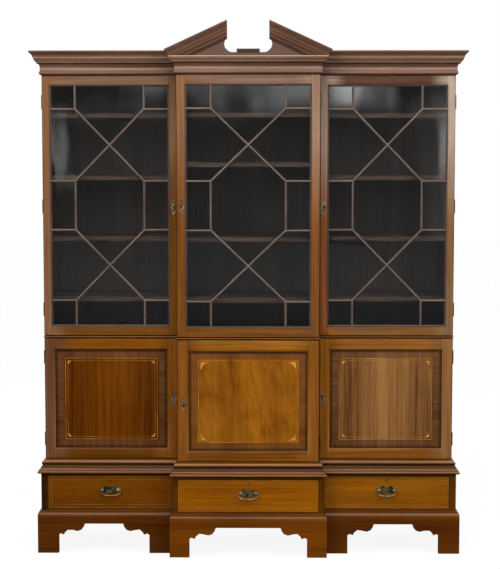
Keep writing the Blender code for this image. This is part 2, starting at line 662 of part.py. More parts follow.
def add_upper_door(name, across, face, edge, side, z_span, rows, materials):
    """Glazed door: rebated frame, astragal lattice and a sheet of glass behind it."""
    back = face + DOOR_THICKNESS
    stile = UPPER_CENTRE_STILE if name == "centre" else UPPER_STILE
    sight_x = (across[0] + stile, across[1] - stile)
    sight_z = (z_span[0] + UPPER_BOTTOM_RAIL, z_span[1] - UPPER_TOP_RAIL)
    shoulder = face + LATTICE_RECESS + LATTICE_DEPTH
    rings = [rectangle(across, z_span, 0.0, back), rectangle(across, z_span, 0.0, face),
             rectangle(sight_x, sight_z, SASH_BEAD, face),
             rectangle(sight_x, sight_z, SASH_BEAD / 3, face + SASH_BEAD_DEPTH / 2),
             rectangle(sight_x, sight_z, 0.0, face + SASH_BEAD_DEPTH),
             rectangle(sight_x, sight_z, 0.0, shoulder),
             rectangle(sight_x, sight_z, GLASS_REBATE, shoulder),
             rectangle(sight_x, sight_z, GLASS_REBATE, back)]
    axis = hinge_axis(across, edge, side, sum(z_span) / 2)
    places = knuckle_places(*z_span, UPPER_HINGE_SHARES)
    add_door_frame(f"upper_door_{name}", rings, axis, places, materials["door"])
    lattice_x = (sight_x[0] + FIT, sight_x[1] - FIT)
    lattice_z = (sight_z[0] + FIT, sight_z[1] - FIT)
    add_lattice(f"door_lattice_{name}", lattice_x, lattice_z, rows, shoulder, materials["lattice"], axis)
    grow = GLASS_REBATE - FIT
    bm = bmesh.new()
    skin(bm, [rectangle(sight_x, sight_z, grow, y) for y in (shoulder + FIT, shoulder + GLASS)])
    add_object(f"door_glass_{name}", bm, materials["glass"], axis)


def crown_section(shares, inner, low):
    """Closed section of the crown moulding as (projection, height)."""
    outside = profile(shares, CORNICE_PROJECTION, CORNICE_HEIGHT, Z_CORNICE)
    return [(inner, low)] + outside + [(inner, outside[-1][1])]


def add_cornice(material):
    points = profile(CORNICE_LOWER_SHARES, CORNICE_PROJECTION, CORNICE_HEIGHT, Z_CORNICE)
    cornice = moulded_frame("cornice", points, -CORNICE_WALL, material)
    inner = -CORNICE_WALL + CROWN_SEAT
    seat = (points[-1][0] - CROWN_SEAT, Z_CROWN - CROWN_SEAT)
    section = crown_section(CROWN_SHARES, inner, Z_CROWN - CROWN_SEAT)
    section.insert(1, seat)
    for name, side in (("left", -1), ("right", 1)):
        rings = []
        for corner in range(4):
            ring = []
            for out, z in section:
                wide, centre = HALF_WIDTH + out, CENTRE_HALF + out
                path = [(wide, Y_BACK - CROWN_SEAT), (wide, Y_SIDE - out), (centre, Y_SIDE - out),
                        (centre, Y_CENTRE - out)]
                x, y = path[corner]
                ring.append((side * x, y, z))
            rings.append(ring)
        bm = bmesh.new()
        skin(bm, rings)
        boolean(cornice, add_object(f"cornice_crown_{name}", bm), "UNION")


def rake_slope():
    return PEDIMENT_RISE / (CENTRE_HALF + CORNICE_PROJECTION - PEDIMENT_OPENING)


def add_rakes(material):
    """Raking crown mouldings, mitred to the returns below and cut plumb at the broken middle."""
    slope = rake_slope()
    inner = TYMPANUM_PROJECTION + FIT
    face = profile(RAKE_BED_SHARES + CROWN_SHARES, CORNICE_PROJECTION, CORNICE_HEIGHT, Z_CORNICE)
    low, high = face[0], face[-1]
    section = [(inner, low[1] + slope * (low[0] - inner))] + face
    section.append((inner, high[1] + slope * (high[0] - inner)))
    for name, side in (("left", -1), ("right", 1)):
        outer_ring = [(side * (CENTRE_HALF + out - 2 * FIT), Y_CENTRE - out, z) for out, z in section]
        run = [CENTRE_HALF + out - PEDIMENT_OPENING for out, _ in section]
        inner_ring = [(side * PEDIMENT_OPENING, Y_CENTRE - out, z + slope * along)
                      for (out, z), along in zip(section, run)]
        bm = bmesh.new()
        skin(bm, [outer_ring, inner_ring])
        rake = add_object(f"pediment_rake_{name}", bm, material)
        far = CENTRE_HALF + CORNICE_PROJECTION + OVERRUN
        x_span = (min(0.0, side * far), max(0.0, side * far))
        cut_boxes(rake, "seat", [(x_span, (Y_CENTRE - CORNICE_PROJECTION - OVERRUN, Y_CENTRE),
                                  (Z_CORNICE, Z_CROWN + FIT))])


def add_tympanum(material):
    """Pediment board with its scrolled opening, and the block that stands in the middle of it."""
    slope = rake_slope()
    low = Z_CROWN + FIT
    half = CENTRE_HALF + TYMPANUM_PROJECTION - TYMPANUM_BOARD - FIT
    edge = CENTRE_HALF + CORNICE_PROJECTION

    def rake_top(x):
        return Z_CORNICE_TOP + slope * (edge - x) - TYMPANUM_TOP_INSET

    floor = Z_CROWN + SCROLL_FLOOR
    scroll = [(across * PEDIMENT_OPENING, floor + up * SCROLL_HEIGHT) for across, up in SCROLL_SHARES]
    right = [(half, low), (half, rake_top(half)), (PEDIMENT_OPENING, rake_top(PEDIMENT_OPENING))] + scroll
    outline = right + [(-x, z) for x, z in reversed(right)]
    front = Y_CENTRE - TYMPANUM_PROJECTION
    bm = bmesh.new()
    skin(bm, [[(x, y, z) for x, z in outline] for y in (front, front + TYMPANUM_BOARD)])
    add_object("tympanum", bm, material)
    board("pediment_block", (-BLOCK_HALF, BLOCK_HALF), (front - BLOCK_PROUD, front + TYMPANUM_BOARD),
          (floor + FIT, floor + BLOCK_HEIGHT), material)


def main():
    clear_scene()
    frame_wood = wood_material("frame_mahogany", (0.20, 0.075, 0.025), 0.35)
    base_wood = wood_material("base_mahogany", (0.15, 0.050, 0.018), 0.35)
    drawer_wood = wood_material("drawer_mahogany", (0.30, 0.13, 0.035), 0.32)
    panel_wood = wood_material("panel_mahogany", (0.24, 0.095, 0.025), 0.30)
    inner_wood = wood_material("inner_mahogany", (0.055, 0.028, 0.016), 0.60)
    brass = metal_material("aged_brass", (0.36, 0.29, 0.14), 0.40)
    glass = glass_material("old_glass", (0.90, 0.92, 0.92), 0.03)
    doors = {"door": frame_wood, "panel": panel_wood, "lattice": frame_wood, "glass": glass}

    add_plinth(base_wood)
    add_drawer_case(base_wood, inner_wood)
    moulded_board("base_top", profile(BASE_TOP_SHARES, BASE_TOP_PROJECTION, BASE_TOP_HEIGHT, Z_BASE_TOP),
                  base_wood)
    for name, across, front in drawer_bays():
        add_drawer(name, across, front, drawer_wood)
        add_handle(name, sum(across) / 2, front, brass)

    thumb = profile(THUMB_SHARES, THUMB_PROJECTION, THUMB_HEIGHT, Z_THUMB)
    moulded_board("cupboard_bottom", thumb, base_wood)
    waist = profile(WAIST_SHARES, WAIST_PROJECTION, WAIST_HEIGHT, Z_WAIST)
    moulded_board("cupboard_top", waist, frame_wood)
    lower_span = (Z_CUPBOARD + FIT, Z_WAIST - FIT)
    lower_doors = (Z_CUPBOARD + DOOR_END_CLEARANCE, Z_WAIST - DOOR_END_CLEARANCE)
    add_uprights("cupboard", lower_span, [], [], Z_CUPBOARD,
                 knuckle_places(*lower_doors, LOWER_HINGE_SHARES), frame_wood)
    add_back("cupboard_back", lower_span, 1, inner_wood)

    carcass_board("upper_bottom", Z_UPPER, FLOOR_BOARD, frame_wood)
    carcass_board("upper_top", Z_CORNICE - FIT - FLOOR_BOARD, FLOOR_BOARD, frame_wood)
    upper_span = (Z_UPPER + FLOOR_BOARD + FIT, Z_CORNICE - 2 * FIT - FLOOR_BOARD)
    upper_doors = (Z_UPPER + DOOR_END_CLEARANCE, Z_CORNICE - DOOR_END_CLEARANCE)
    side_heights = [share * UPPER_HEIGHT for share in SIDE_SHELF_SHARES]
    centre_heights = [share * UPPER_HEIGHT for share in CENTRE_SHELF_SHARES]
    add_uprights("upper", upper_span, side_heights, centre_heights, Z_UPPER,
                 knuckle_places(*upper_doors, UPPER_HINGE_SHARES), frame_wood)
    add_shelves(side_heights, centre_heights, Z_UPPER, inner_wood)
    add_back("upper_back", upper_span, 2, inner_wood)

    rows = [Z_UPPER + share * UPPER_HEIGHT for share in BAR_ROW_SHARES]
    for name, across, face, edge, side in door_bays():
        add_lower_door(name, across, face, edge, side, lower_doors, doors)
        add_upper_door(name, across, face, edge, side, upper_doors, rows, doors)

    add_cornice(frame_wood)
    add_rakes(frame_wood)
    add_tympanum(frame_wood)


main()
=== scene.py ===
"""The look of a breakfront bookcase: its timber, brass, inlay and glass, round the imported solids.

Metres, +Z up, the front faces -Y. Every finished piece lies in the frame's own place.
"""

import math
from functools import partialmethod

import bmesh
import bpy
from mathutils.geometry import tessellate_polygon
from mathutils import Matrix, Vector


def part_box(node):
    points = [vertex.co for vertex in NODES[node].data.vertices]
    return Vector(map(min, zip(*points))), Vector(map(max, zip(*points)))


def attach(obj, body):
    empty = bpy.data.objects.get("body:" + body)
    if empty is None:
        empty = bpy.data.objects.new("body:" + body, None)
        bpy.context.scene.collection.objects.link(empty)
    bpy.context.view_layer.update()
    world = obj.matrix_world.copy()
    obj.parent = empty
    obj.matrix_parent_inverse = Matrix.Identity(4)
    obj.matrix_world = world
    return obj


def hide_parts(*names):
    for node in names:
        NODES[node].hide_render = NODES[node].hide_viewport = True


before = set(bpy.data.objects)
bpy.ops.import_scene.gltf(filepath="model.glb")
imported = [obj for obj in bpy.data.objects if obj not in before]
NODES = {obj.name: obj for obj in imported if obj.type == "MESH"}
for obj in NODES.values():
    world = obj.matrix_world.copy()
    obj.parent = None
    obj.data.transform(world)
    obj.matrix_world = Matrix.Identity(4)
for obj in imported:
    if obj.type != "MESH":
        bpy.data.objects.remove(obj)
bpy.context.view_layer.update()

# Planes and lines of the case
HALF_WIDTH = 0.927
CENTRE_HALF = 0.32
Y_SIDE = -0.13975
Y_CENTRE = -0.21275
PLINTH_PROJECTION = 0.035
DOOR_NAMES = ("left", "centre", "right")
BAY_FACES = {"left": Y_SIDE, "centre": Y_CENTRE, "right": Y_SIDE}
DOOR_EDGES = {"left": (-0.927, -0.3225), "centre": (-0.32, 0.32), "right": (0.3225, 0.927)}
LOWER_STILES = {"left": 0.05, "centre": 0.055, "right": 0.05}
UPPER_STILES = {"left": 0.0345, "centre": 0.04, "right": 0.0345}
LOWER_RAILS = (0.05, 0.055)
UPPER_RAILS = (0.043, 0.043)
DOOR_BODY = "{}_cupboard_door"
GLAZED_BODY = "{}_glazed_door"

# Camera, fitted to the photograph
CAMERA_PLACE = (0.0674, -6.4619, 1.7288)
CAMERA_TURN = (90.0 - 4.517, 0.0, 0.545)
LENS = 88.69


def srgb(red, green, blue):
    """A colour written as it looks, 0 to 255, turned into linear light."""
    def linear(value):
        share = value / 255.0
        return share / 12.92 if share <= 0.04045 else ((share + 0.055) / 1.055) ** 2.4
    return (linear(red), linear(green), linear(blue), 1.0)


def placed(name, data):
    """A new object in the scene, at the origin."""
    thing = bpy.data.objects.new(name, data)
    bpy.context.scene.collection.objects.link(thing)
    return thing


class Socket:
    """One output of a material's nodes; arithmetic on it adds Math nodes."""

    def __init__(self, finish, link):
        self.finish = finish
        self.link = link

    def math(self, operation, *others, clamp=False):
        settings = {"operation": operation, "use_clamp": clamp}
        return self.finish.node("ShaderNodeMath", settings, dict(enumerate((self,) + others)))

    __add__ = __radd__ = partialmethod(math, "ADD")
    __mul__ = __rmul__ = partialmethod(math, "MULTIPLY")
    __sub__ = partialmethod(math, "SUBTRACT")
    __truediv__ = partialmethod(math, "DIVIDE")
    above = partialmethod(math, "GREATER_THAN")
    below = partialmethod(math, "LESS_THAN")
    least = partialmethod(math, "MINIMUM")
    most = partialmethod(math, "MAXIMUM")
    size = partialmethod(math, "ABSOLUTE")
    held = partialmethod(math, "ADD", 0, clamp=True)

    def __rsub__(self, other):
        return self.finish.node("ShaderNodeMath", {"operation": "SUBTRACT"}, {0: other, 1: self})

    def near(self, value, reach):
        """1 at a value, fading to 0 at a reach from it."""
        return (self - value).size().ramp(reach * 0.4, reach, 1, 0)

    def ramp(self, low, high, from_value=0, to_value=1):
        """The value carried from one range to another with soft ends."""
        return self.finish.node("ShaderNodeMapRange", {"interpolation_type": "SMOOTHSTEP"},
                                {0: self, 1: low, 2: high, 3: from_value, 4: to_value})


class Finish:
    """A material, or the world, whose nodes are added one by one."""

    def __init__(self, name, owner=None):
        self.owner = owner or bpy.data.materials.new(name)
        self.owner.use_nodes = True
        self.tree = self.owner.node_tree
        self.tree.nodes.clear()

    def node(self, kind, settings=None, values=None, output=0):
        """Add a node; values, by input name or number, are Sockets, lists of them, numbers, or
        colours as they look, 0 to 255."""
        made = self.tree.nodes.new(kind)
        for key, value in (settings or {}).items():
            setattr(made, key, value)
        for key, value in (values or {}).items():
            if isinstance(value, Socket):
                self.tree.links.new(value.link, made.inputs[key])
            elif isinstance(value, list):
                for item in value:
                    self.tree.links.new(item.link, made.inputs[key])
            else:
                as_seen = made.inputs[key].type == "RGBA" and len(value) == 3
                made.inputs[key].default_value = srgb(*value) if as_seen else value
        self.last = made
        return Socket(self, made.outputs[output]) if made.outputs else None

    def outputs(self, *keys):
        """Outputs of the node made last."""
        return [Socket(self, self.last.outputs[key]) for key in keys]

    def place(self, kind="Object"):
        """x, y and z of the point on the piece."""
        self.node("ShaderNodeSeparateXYZ", values={0: self.node("ShaderNodeTexCoord", output=kind)})
        return self.outputs(0, 1, 2)

    def rays(self, *kinds):
        """What is known of the ray being followed, such as whether it starts at the camera."""
        self.node("ShaderNodeLightPath")
        return self.outputs(*kinds)

    def vector(self, x, y, z):
        return self.node("ShaderNodeCombineXYZ", values={0: x, 1: y, 2: z})

    def noise(self, x, y, z, scale=1, **others):
        """Noise from 0 to 1; the others are its detail, roughness and distortion."""
        values = {key.title(): value for key, value in others.items()}
        values.update({"Vector": self.vector(x, y, z), "Scale": scale})
        return self.node("ShaderNodeTexNoise", values=values)

    def bump(self, height, strength, distance=0.0002):
        values = {"Strength": strength, "Distance": distance, "Height": height}
        return self.node("ShaderNodeBump", values=values)

    def blend(self, share, low, high, how="MIX"):
        """Mix of two colours by a share."""
        settings = {"data_type": "RGBA", "blend_type": how}
        self.node("ShaderNodeMix", settings, {0: share, 6: low, 7: high})
        return self.outputs(2)[0]

    def tint(self, share, colour, glaze):
        """A colour multiplied by another one, by a share."""
        return self.blend(share, colour, glaze, "MULTIPLY")

    def surface(self, shader):
        kind = "World" if self.owner.id_type == "WORLD" else "Material"
        self.node("ShaderNodeOutput" + kind, values={"Surface": shader})
        return self.owner

    def principled(self, **values):
        named = {key.replace("_", " "): value for key, value in values.items()}
        return self.surface(self.node("ShaderNodeBsdfPrincipled", values=named))


class Growth(Finish):
    """A Geometry Nodes tree that makes repeated pieces, with named inputs for its sizes."""

    def __init__(self, name, *sizes):
        self.tree = bpy.data.node_groups.new(name, "GeometryNodeTree")
        sockets = self.tree.interface
        sockets.new_socket("Geometry", in_out="INPUT", socket_type="NodeSocketGeometry")
        made = [sockets.new_socket(size, in_out="INPUT", socket_type="NodeSocketFloat")
                for size in sizes]
        self.keys = {socket.name: socket.identifier for socket in made}
        sockets.new_socket("Geometry", in_out="OUTPUT", socket_type="NodeSocketGeometry")
        self.node("NodeGroupInput")
        self.given = {socket.name: Socket(self, socket) for socket in self.last.outputs}

    def part(self, kind, shape=None, **values):
        """Add a geometry node: its first input is a shape, or all inputs go by name."""
        named = {key.replace("_", " "): value for key, value in values.items()}
        return self.node("GeometryNode" + kind, values={0: shape, **named} if shape else named)

    def end(self, shape, material, smooth=True):
        real = self.part("RealizeInstances", shape)
        if smooth:
            real = self.part("SetShadeSmooth", real)
        painted = self.part("SetMaterial", real, Material=material)
        self.node("NodeGroupOutput", values={0: painted})

    def grow(self, name, points, edges, body, slot, **sizes):
        """Run the tree on points and edges, and keep the result as a plain piece."""
        seed = bpy.data.meshes.new(name)
        seed.from_pydata(points, edges, [])
        holder = placed(name + "_path", seed)
        modifier = holder.modifiers.new(name, "NODES")
        modifier.node_group = self.tree
        for size, value in sizes.items():
            modifier[self.keys[size]] = value
        graph = bpy.context.evaluated_depsgraph_get()
        mesh = bpy.data.meshes.new_from_object(holder.evaluated_get(graph))
        bpy.data.objects.remove(holder, do_unlink=True)
        piece = placed(name, mesh)
        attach(piece, body)


# Grain directions, as the order of (along, across, deep)
UPRIGHT, LEVEL, ENDWISE = (2, 0, 1), (0, 2, 1), (1, 2, 0)
# Shares of broad tone, streaks and patches in a board's light, and its swing in red, green and blue
BROAD_WEIGHT, STREAK_WEIGHT, PATCH_WEIGHT, SWING = 0.8, 1.6, 0.4, (1, 1.16, 1.28)
# How far grain wanders sideways, and the seed step to boards laid the other way
WANDER, TURNED_SEED = 0.022, 7.3
PORE_TINT, PORE_SHARE = (120, 92, 80), 0.45
# Colour multiplied in for painted shade along edges and for dark joints
SHADE_AND_JOINT_TINT = (60, 42, 36)
LINING_HUE = (142, 110, 72)
KNUCKLE_HUE = (150, 124, 74)
# Strength of level lines of painted highlight and painted shade and of frame joints, and a joint's
# reach
LINE_SHARE, JOINT_SHARE, JOINT_REACH = 0.85, 0.7, 0.0006


def grain_lines(finish, along, across, deep, seed):
    """Broad tone, streaks and pores of a board, each from 0 to 1, stretched along the grain."""
    drift = finish.noise(along * 1.7 + seed, across * 6, deep * 6, detail=3)
    bent = across + (drift - 0.5) * WANDER
    broad = finish.noise(along * 0.9 + seed, bent * 11, deep * 9)
    streak = finish.noise(along * 2.4 + seed, bent * 95, deep * 60, detail=4,
                          roughness=0.62)
    pores = finish.noise(along * 22 + seed, bent * 900, deep * 500)
    return broad, streak, pores, bent


def laid(place, grain, turned):
    """Ways along, across and through the boards, and their seed step."""
    if not turned:
        return [place[i] for i in grain], 0
    mask, other = turned(*place)
    ways = [mask * place[b] + (1 - mask) * place[a] for a, b in zip(grain, other)]
    return ways, mask * TURNED_SEED


def lively(finish, colour, light, spread):
    """A colour made darker and paler by the light of the grain."""
    dark, pale = (tuple(1 + side * spread * share for share in SWING) + (1,) for side in (-1, 1))
    return finish.tint(1, colour, finish.blend(light, dark, pale))


def timber(name, hue, grain=UPRIGHT, turned=None, seed=0, streaks=0.5, gloss=0.3, figure=None,
           shade=None, grime=None, metal=None, lining=None, lines=(), spread=0.6, coat=0.25,
           polish=0.12):
    """Polished timber.

    hue is a colour or a function of the point, and shade a mask with the colour of that part.
    turned gives the mask and the grain of boards laid another way; figure adds to the light.
    grime, metal and lining are masks of painted shade along edges with dark joints, of hinge
    knuckles and of pale secondary wood.
    lines are level lines of painted highlight and painted shade: height, reach, colour. gloss and
    polish are roughnesses.
    """
    finish = Finish(name)
    place = finish.place()
    ways, board = laid(place, grain, turned)
    broad, streak, pores, bent = grain_lines(finish, *ways, board + seed)
    patch = finish.noise(*[way * 3.1 for way in place])
    light = ((broad - 0.5) * BROAD_WEIGHT + (streak - 0.5) * streaks * STREAK_WEIGHT
             + (patch - 0.5) * PATCH_WEIGHT + 0.5)
    if figure:
        light = light + figure(ways[0], bent, *place)
    colour = hue(*place) if callable(hue) else hue
    if lining:
        colour = finish.blend(lining(*place), colour, LINING_HUE)
    if shade:
        colour = finish.blend(shade[0](*place), colour, shade[1])
    # Level lines of painted highlight and painted shade
    for height, reach, wear_and_light_tone in lines:
        colour = finish.blend(place[2].near(height, reach) * LINE_SHARE, colour, wear_and_light_tone)
    colour = lively(finish, colour, light.held(), spread)
    pits = pores.ramp(0.28, 0.42, 1, 0)
    colour = finish.tint(pits * PORE_SHARE, colour, PORE_TINT)
    # Painted shade along edges, and dark joints
    if grime:
        colour = finish.tint(grime(*place), colour, SHADE_AND_JOINT_TINT)
    wear = finish.noise(*place, scale=9, detail=3)
    rough = wear.ramp(0.3, 0.75, gloss - 0.05, gloss + 0.09) + pits * 0.12
    bump = finish.bump(streak * 0.5 - pits, 0.35)
    values = {}
    if metal:
        values["Metallic"] = metal(*place)
        colour = finish.blend(values["Metallic"], colour, KNUCKLE_HUE)
    return finish.principled(Base_Color=colour, Roughness=rough, Normal=bump, Coat_Weight=coat,
                             Coat_Roughness=polish, Specular_IOR_Level=0.1, **values)


def rails_between(x_low, x_high):
    """Mask of the rails of a framed door, whose grain runs level between its stiles."""
    def turned(x, y, z):
        return x.above(x_low) * x.below(x_high), LEVEL
    return turned


def returns(x, y, z):
    """Mask of the parts of a mitred moulding that run from front to back."""
    end = (x.size() - HALF_WIDTH).above(Y_SIDE - y)
    from_break = x.size() - CENTRE_HALF
    inner = from_break.above(Y_CENTRE - y) * from_break.below(Y_SIDE - y)
    return (end + inner).held(), ENDWISE


def rim(x_span, z_span, reach):
    """Mask of a line of painted shade just inside a rectangle's edges, from front to back."""
    def grime(x, y, z):
        across = (x - x_span[0]).least(x_span[1] - x)
        up = (z - z_span[0]).least(z_span[1] - z)
        return across.least(up).ramp(reach * 0.4, reach, 1, 0)
    return grime


def framed(x_span, z_span, sight_x, sight_z, reach):
    """Mask of a framed door's dark lines: painted shade along its outer edge and round its opening,
    and its four dark joints.
    """
    outer = rim(x_span, z_span, reach)

    def grime(x, y, z):
        across = (sight_x[0] - x).most(x - sight_x[1])
        up = (sight_z[0] - z).most(z - sight_z[1])
        opening = across.most(up).ramp(reach * 0.3, reach * 0.9, 1, 0)
        joints = x.near(sight_x[0], JOINT_REACH).most(x.near(sight_x[1], JOINT_REACH)) * JOINT_SHARE
        return outer(x, y, z).most(opening).most(joints)
    return grime


# Colours of the door frames: left stile, right stile, top rail and bottom rail
UPPER_HUES = {
    "left": ((120, 82, 52), (107, 63, 2), (111, 82, 64), (98, 57, 8)),
    "centre": ((111, 63, 16), (111, 66, 26), (115, 87, 71), (117, 71, 23)),
    "right": ((134, 71, 2), (123, 89, 57), (81, 52, 37), (113, 73, 35))}
LOWER_HUES = {
    "left": ((105, 67, 41), (122, 70, 17), (127, 72, 10), (94, 51, 3)),
    "centre": ((120, 69, 17), (131, 79, 24), (157, 96, 25), (119, 68, 5)),
    "right": ((134, 81, 18), (127, 86, 47), (147, 92, 35), (123, 74, 17))}
# Painted sheen: share by which it pales and greys the tops of a glazed door's two stiles, its
# colour, the heights between which it comes, and how far a rail's colour blends out and in from the
# sight line
STILE_SHEEN = {"left": (0, 0.17), "centre": (0.11, 0.31), "right": (0.65, 0.72)}
SHEEN_HUE = (175, 158, 142)
SHEEN_HEIGHTS = (1.45, 2)
RAIL_BLEND = (0.005, 0.09)
PANEL_HUES = {"left": (95, 48, 2), "centre": (136, 81, 14), "right": (125, 84, 45)}
BAND_HUES = {"left": (96, 58, 29), "centre": (110, 66, 26), "right": (104, 68, 38)}
DRAWER_HUES = {"left": (104, 55, 1), "centre": (142, 81, 2), "right": (134, 78, 6)}
CASE_HUE = (78, 44, 14)
END_HUE = (104, 62, 26)
CORNICE_HUE = (128, 95, 74)
# The frieze's own colour, greyed as a painted reflection haze
FRIEZE_HUE = (114, 82, 65)
BASE_HUE = (88, 52, 16)
RAKE_HUE = (107, 78, 61)
PLINTH_HUE = (87, 43, 4)
PLINTH_CENTRE_HUE = (110, 58, 5)
TYMPANUM_HUE = (92, 70, 60)
# The bars' own colour darkened as painted shade along their sides, and the beads' paled as a
# painted highlight
BAR_SHADED_HUE = (84, 70, 62)
BEAD_HIGHLIGHT_HUE = (108, 94, 86)
SHELF_HUE = (104, 80, 68)
INNER_HUE, BACK_HUE = (100, 89, 86), (112, 80, 50)
DRAWER_CASE_HUE, CASE_END_HUE = (86, 45, 1), (50, 24, 3)
BLOCK_HUE = (62, 48, 40)
# The waist moulding's colour, darkened as painted shade of the gaps beside it
WAIST_SHADED_HUE = (58, 32, 12)

# Lines of painted highlight and painted shade along the mouldings: height, reach, colour
PAINTED_HIGHLIGHT, PAINTED_SHADE = (176, 146, 122), (62, 38, 22)
CORNICE_PAINTED_LIGHT = [(2.2451, 0.0034, PAINTED_HIGHLIGHT), (2.2275, 0.0034, PAINTED_HIGHLIGHT),
                 (2.2205, 0.0034, PAINTED_SHADE), (2.2672, 0.003, PAINTED_SHADE),
                 (2.1965, 0.006, (150, 124, 110)), (2.1725, 0.003, (92, 68, 54)),
                 (2.2742, 0.0016, (92, 62, 42))]
BASE_PAINTED_LIGHT = [(0.4205, 0.0042, (146, 106, 70)), (0.4088, 0.006, (58, 30, 8)),
              (0.3985, 0.007, (72, 40, 12)), (0.3915, 0.004, (60, 32, 8)),
              (0.3862, 0.003, (130, 92, 62)), (0.3745, 0.004, (136, 96, 58)),
              (0.368, 0.004, (84, 48, 10))]
PLINTH_PAINTED_LIGHT = [(0.1905, 0.005, (66, 34, 8)), (0.182, 0.004, (128, 92, 62)),
                (0.175, 0.004, (104, 66, 34))]
WAIST_PAINTED_HIGHLIGHT = [(0.9908, 0.0022, (150, 98, 46))]

# Top of the frieze, and where the drawer case's left end darkens
FRIEZE_TOP = 2.2125
LEFT_END = (-0.93, -0.9)
# From a back's inner face to its outside colour, and from there to its framing's face
BACK_COLOUR_DEPTH, RECESS_DEPTH = 0.002, 0.007
DRAWER_FRONT_THICKNESS = 0.0202
# Chamfer of an arris, and the degrees from which an edge is sharp
ARRIS, SHARP = 0.0007, 35


def spans(name):
    """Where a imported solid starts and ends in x, y and z."""
    return list(zip(*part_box(name)))


def halfway(ends):
    return (ends[0] + ends[1]) / 2


def shrunk(ends, low, high=None):
    """A span moved inwards, by one distance or by its own at each end."""
    return ends[0] + low, ends[1] - (low if high is None else high)


def door_body(kind, name):
    return (GLAZED_BODY if kind == "upper_door" else DOOR_BODY).format(name)


def hinge_edge(name):
    """x of the edge that a bay's doors are hung on, and the way outwards from it."""
    return (DOOR_EDGES[name][0], -1) if name == "left" else (DOOR_EDGES[name][1], 1)


def frame_hues(hues, sight_x, sight_z, sheen):
    """The colour of a door frame by its members, the stiles paled and greyed towards the top by a
    painted sheen.
    """
    outside, inside = RAIL_BLEND

    def hue(x, y, z):
        finish = x.finish
        right = x.above(halfway(sight_x))
        stiles = finish.blend(right, hues[0], hues[1])
        # Painted sheen over the tops of the stiles, strongest on the right
        sheen_share = right.ramp(0, 1, *sheen) * z.ramp(*SHEEN_HEIGHTS)
        stiles = finish.blend(sheen_share, stiles, SHEEN_HUE)
        rails = finish.blend(z.above(halfway(sight_z)), hues[3], hues[2])
        between = (x.ramp(sight_x[0] - outside, sight_x[0] + inside)
                   * x.ramp(sight_x[1] - inside, sight_x[1] + outside, 1, 0))
        return finish.blend(between, stiles, rails)
    return hue


def dress(names, material):
    """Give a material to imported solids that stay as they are."""
    for name in names:
        slots = NODES[name].data.materials
        slots.clear()
        slots.append(material)


def dress_carcass():
    case = timber("case_timber", CASE_HUE, UPRIGHT, seed=3.1)
    level = timber("rail_timber", CASE_HUE, LEVEL, seed=5.7)
    inner = timber("shelf_timber", SHELF_HUE, LEVEL, seed=4.4, gloss=0.45, coat=0.1)
    rear = spans("upper_back")[1][0] + BACK_COLOUR_DEPTH

    def outside(x, y, z):
        return y.above(rear)

    def recessed(along, across, x, y, z):
        return y.above(rear) * y.below(rear + RECESS_DEPTH) * 0.35

    backs = timber("back_timber", INNER_HUE, UPRIGHT, seed=9.4, gloss=0.5, coat=0, spread=0.4,
                   shade=(outside, BACK_HUE), figure=recessed)
    ends = timber("end_timber", END_HUE, UPRIGHT, seed=6.6)
    for part, material in (("partition", case), ("end", ends)):
        dress([f"{storey}_{part}_{side}" for storey in ("cupboard", "upper")
               for side in ("left", "right")], material)
    dress(["upper_bottom", "upper_top"], level)
    dress([f"shelf_{bay}_{number}" for bay in DOOR_NAMES for number in range(1, 5)], inner)
    dress(["cupboard_back", "upper_back", "drawer_case_back"], backs)


def add_mouldings():
    """The carcase's shaped members, their arrises eased and their curves smooth."""
    def frieze(x, y, z):
        return z.below(FRIEZE_TOP)

    def left_end(x, y, z):
        return x.ramp(*LEFT_END, 1, 0)

    def centre_bay(x, y, z):
        return x.size().below(CENTRE_HALF + PLINTH_PROJECTION)

    crown = timber("cornice_timber", CORNICE_HUE, LEVEL, returns, seed=8.3, gloss=0.24, coat=0.5,
                   polish=0.09, shade=(frieze, FRIEZE_HUE), lines=CORNICE_PAINTED_LIGHT)
    raking = timber("rake_timber", RAKE_HUE, LEVEL, seed=1.3, gloss=0.24, coat=0.4, polish=0.1,
                    spread=0.35)
    pediment = timber("tympanum_timber", TYMPANUM_HUE, LEVEL, seed=6.1, streaks=0.3, spread=0.3)
    base = timber("base_timber", BASE_HUE, LEVEL, returns, seed=2.2, gloss=0.26, coat=0.4,
                  lines=BASE_PAINTED_LIGHT)
    front = timber("drawer_case_timber", DRAWER_CASE_HUE, LEVEL, seed=5.2, coat=0.3,
                   shade=(left_end, CASE_END_HUE))
    block = timber("block_timber", BLOCK_HUE, LEVEL, seed=3.9, spread=0.3)
    waist = timber("waist_timber", WAIST_SHADED_HUE, LEVEL, returns, seed=6.8, gloss=0.26, coat=0.4,
                   lines=WAIST_PAINTED_HIGHLIGHT)
    plinth = timber("plinth_timber", PLINTH_HUE, LEVEL, returns, seed=7.9,
                    shade=(centre_bay, PLINTH_CENTRE_HUE), lines=PLINTH_PAINTED_LIGHT)
    upper = {"cornice": crown, "pediment_rake_left": raking, "pediment_rake_right": raking,
             "tympanum": pediment, "pediment_block": block, "cupboard_top": waist}
    lower = {"cupboard_bottom": base, "base_top": base, "drawer_case": front,
             "drawer_case_top": front, "plinth": plinth}
    for members, slot in ((upper, "frame_mahogany"), (lower, "base_mahogany")):
        for name, material in members.items():
            eased(name, material, "carcase", slot)


def add_door_timber():
    """Frames, lattices and drawers, one bay after another."""
    for number, name in enumerate(DOOR_NAMES):
        add_door_frames(number, name)
        dress([f"door_lattice_{name}"],
              timber(f"lattice_{name}_timber", BAR_SHADED_HUE, LEVEL, seed=number, gloss=0.34))
        add_drawer(number, name)


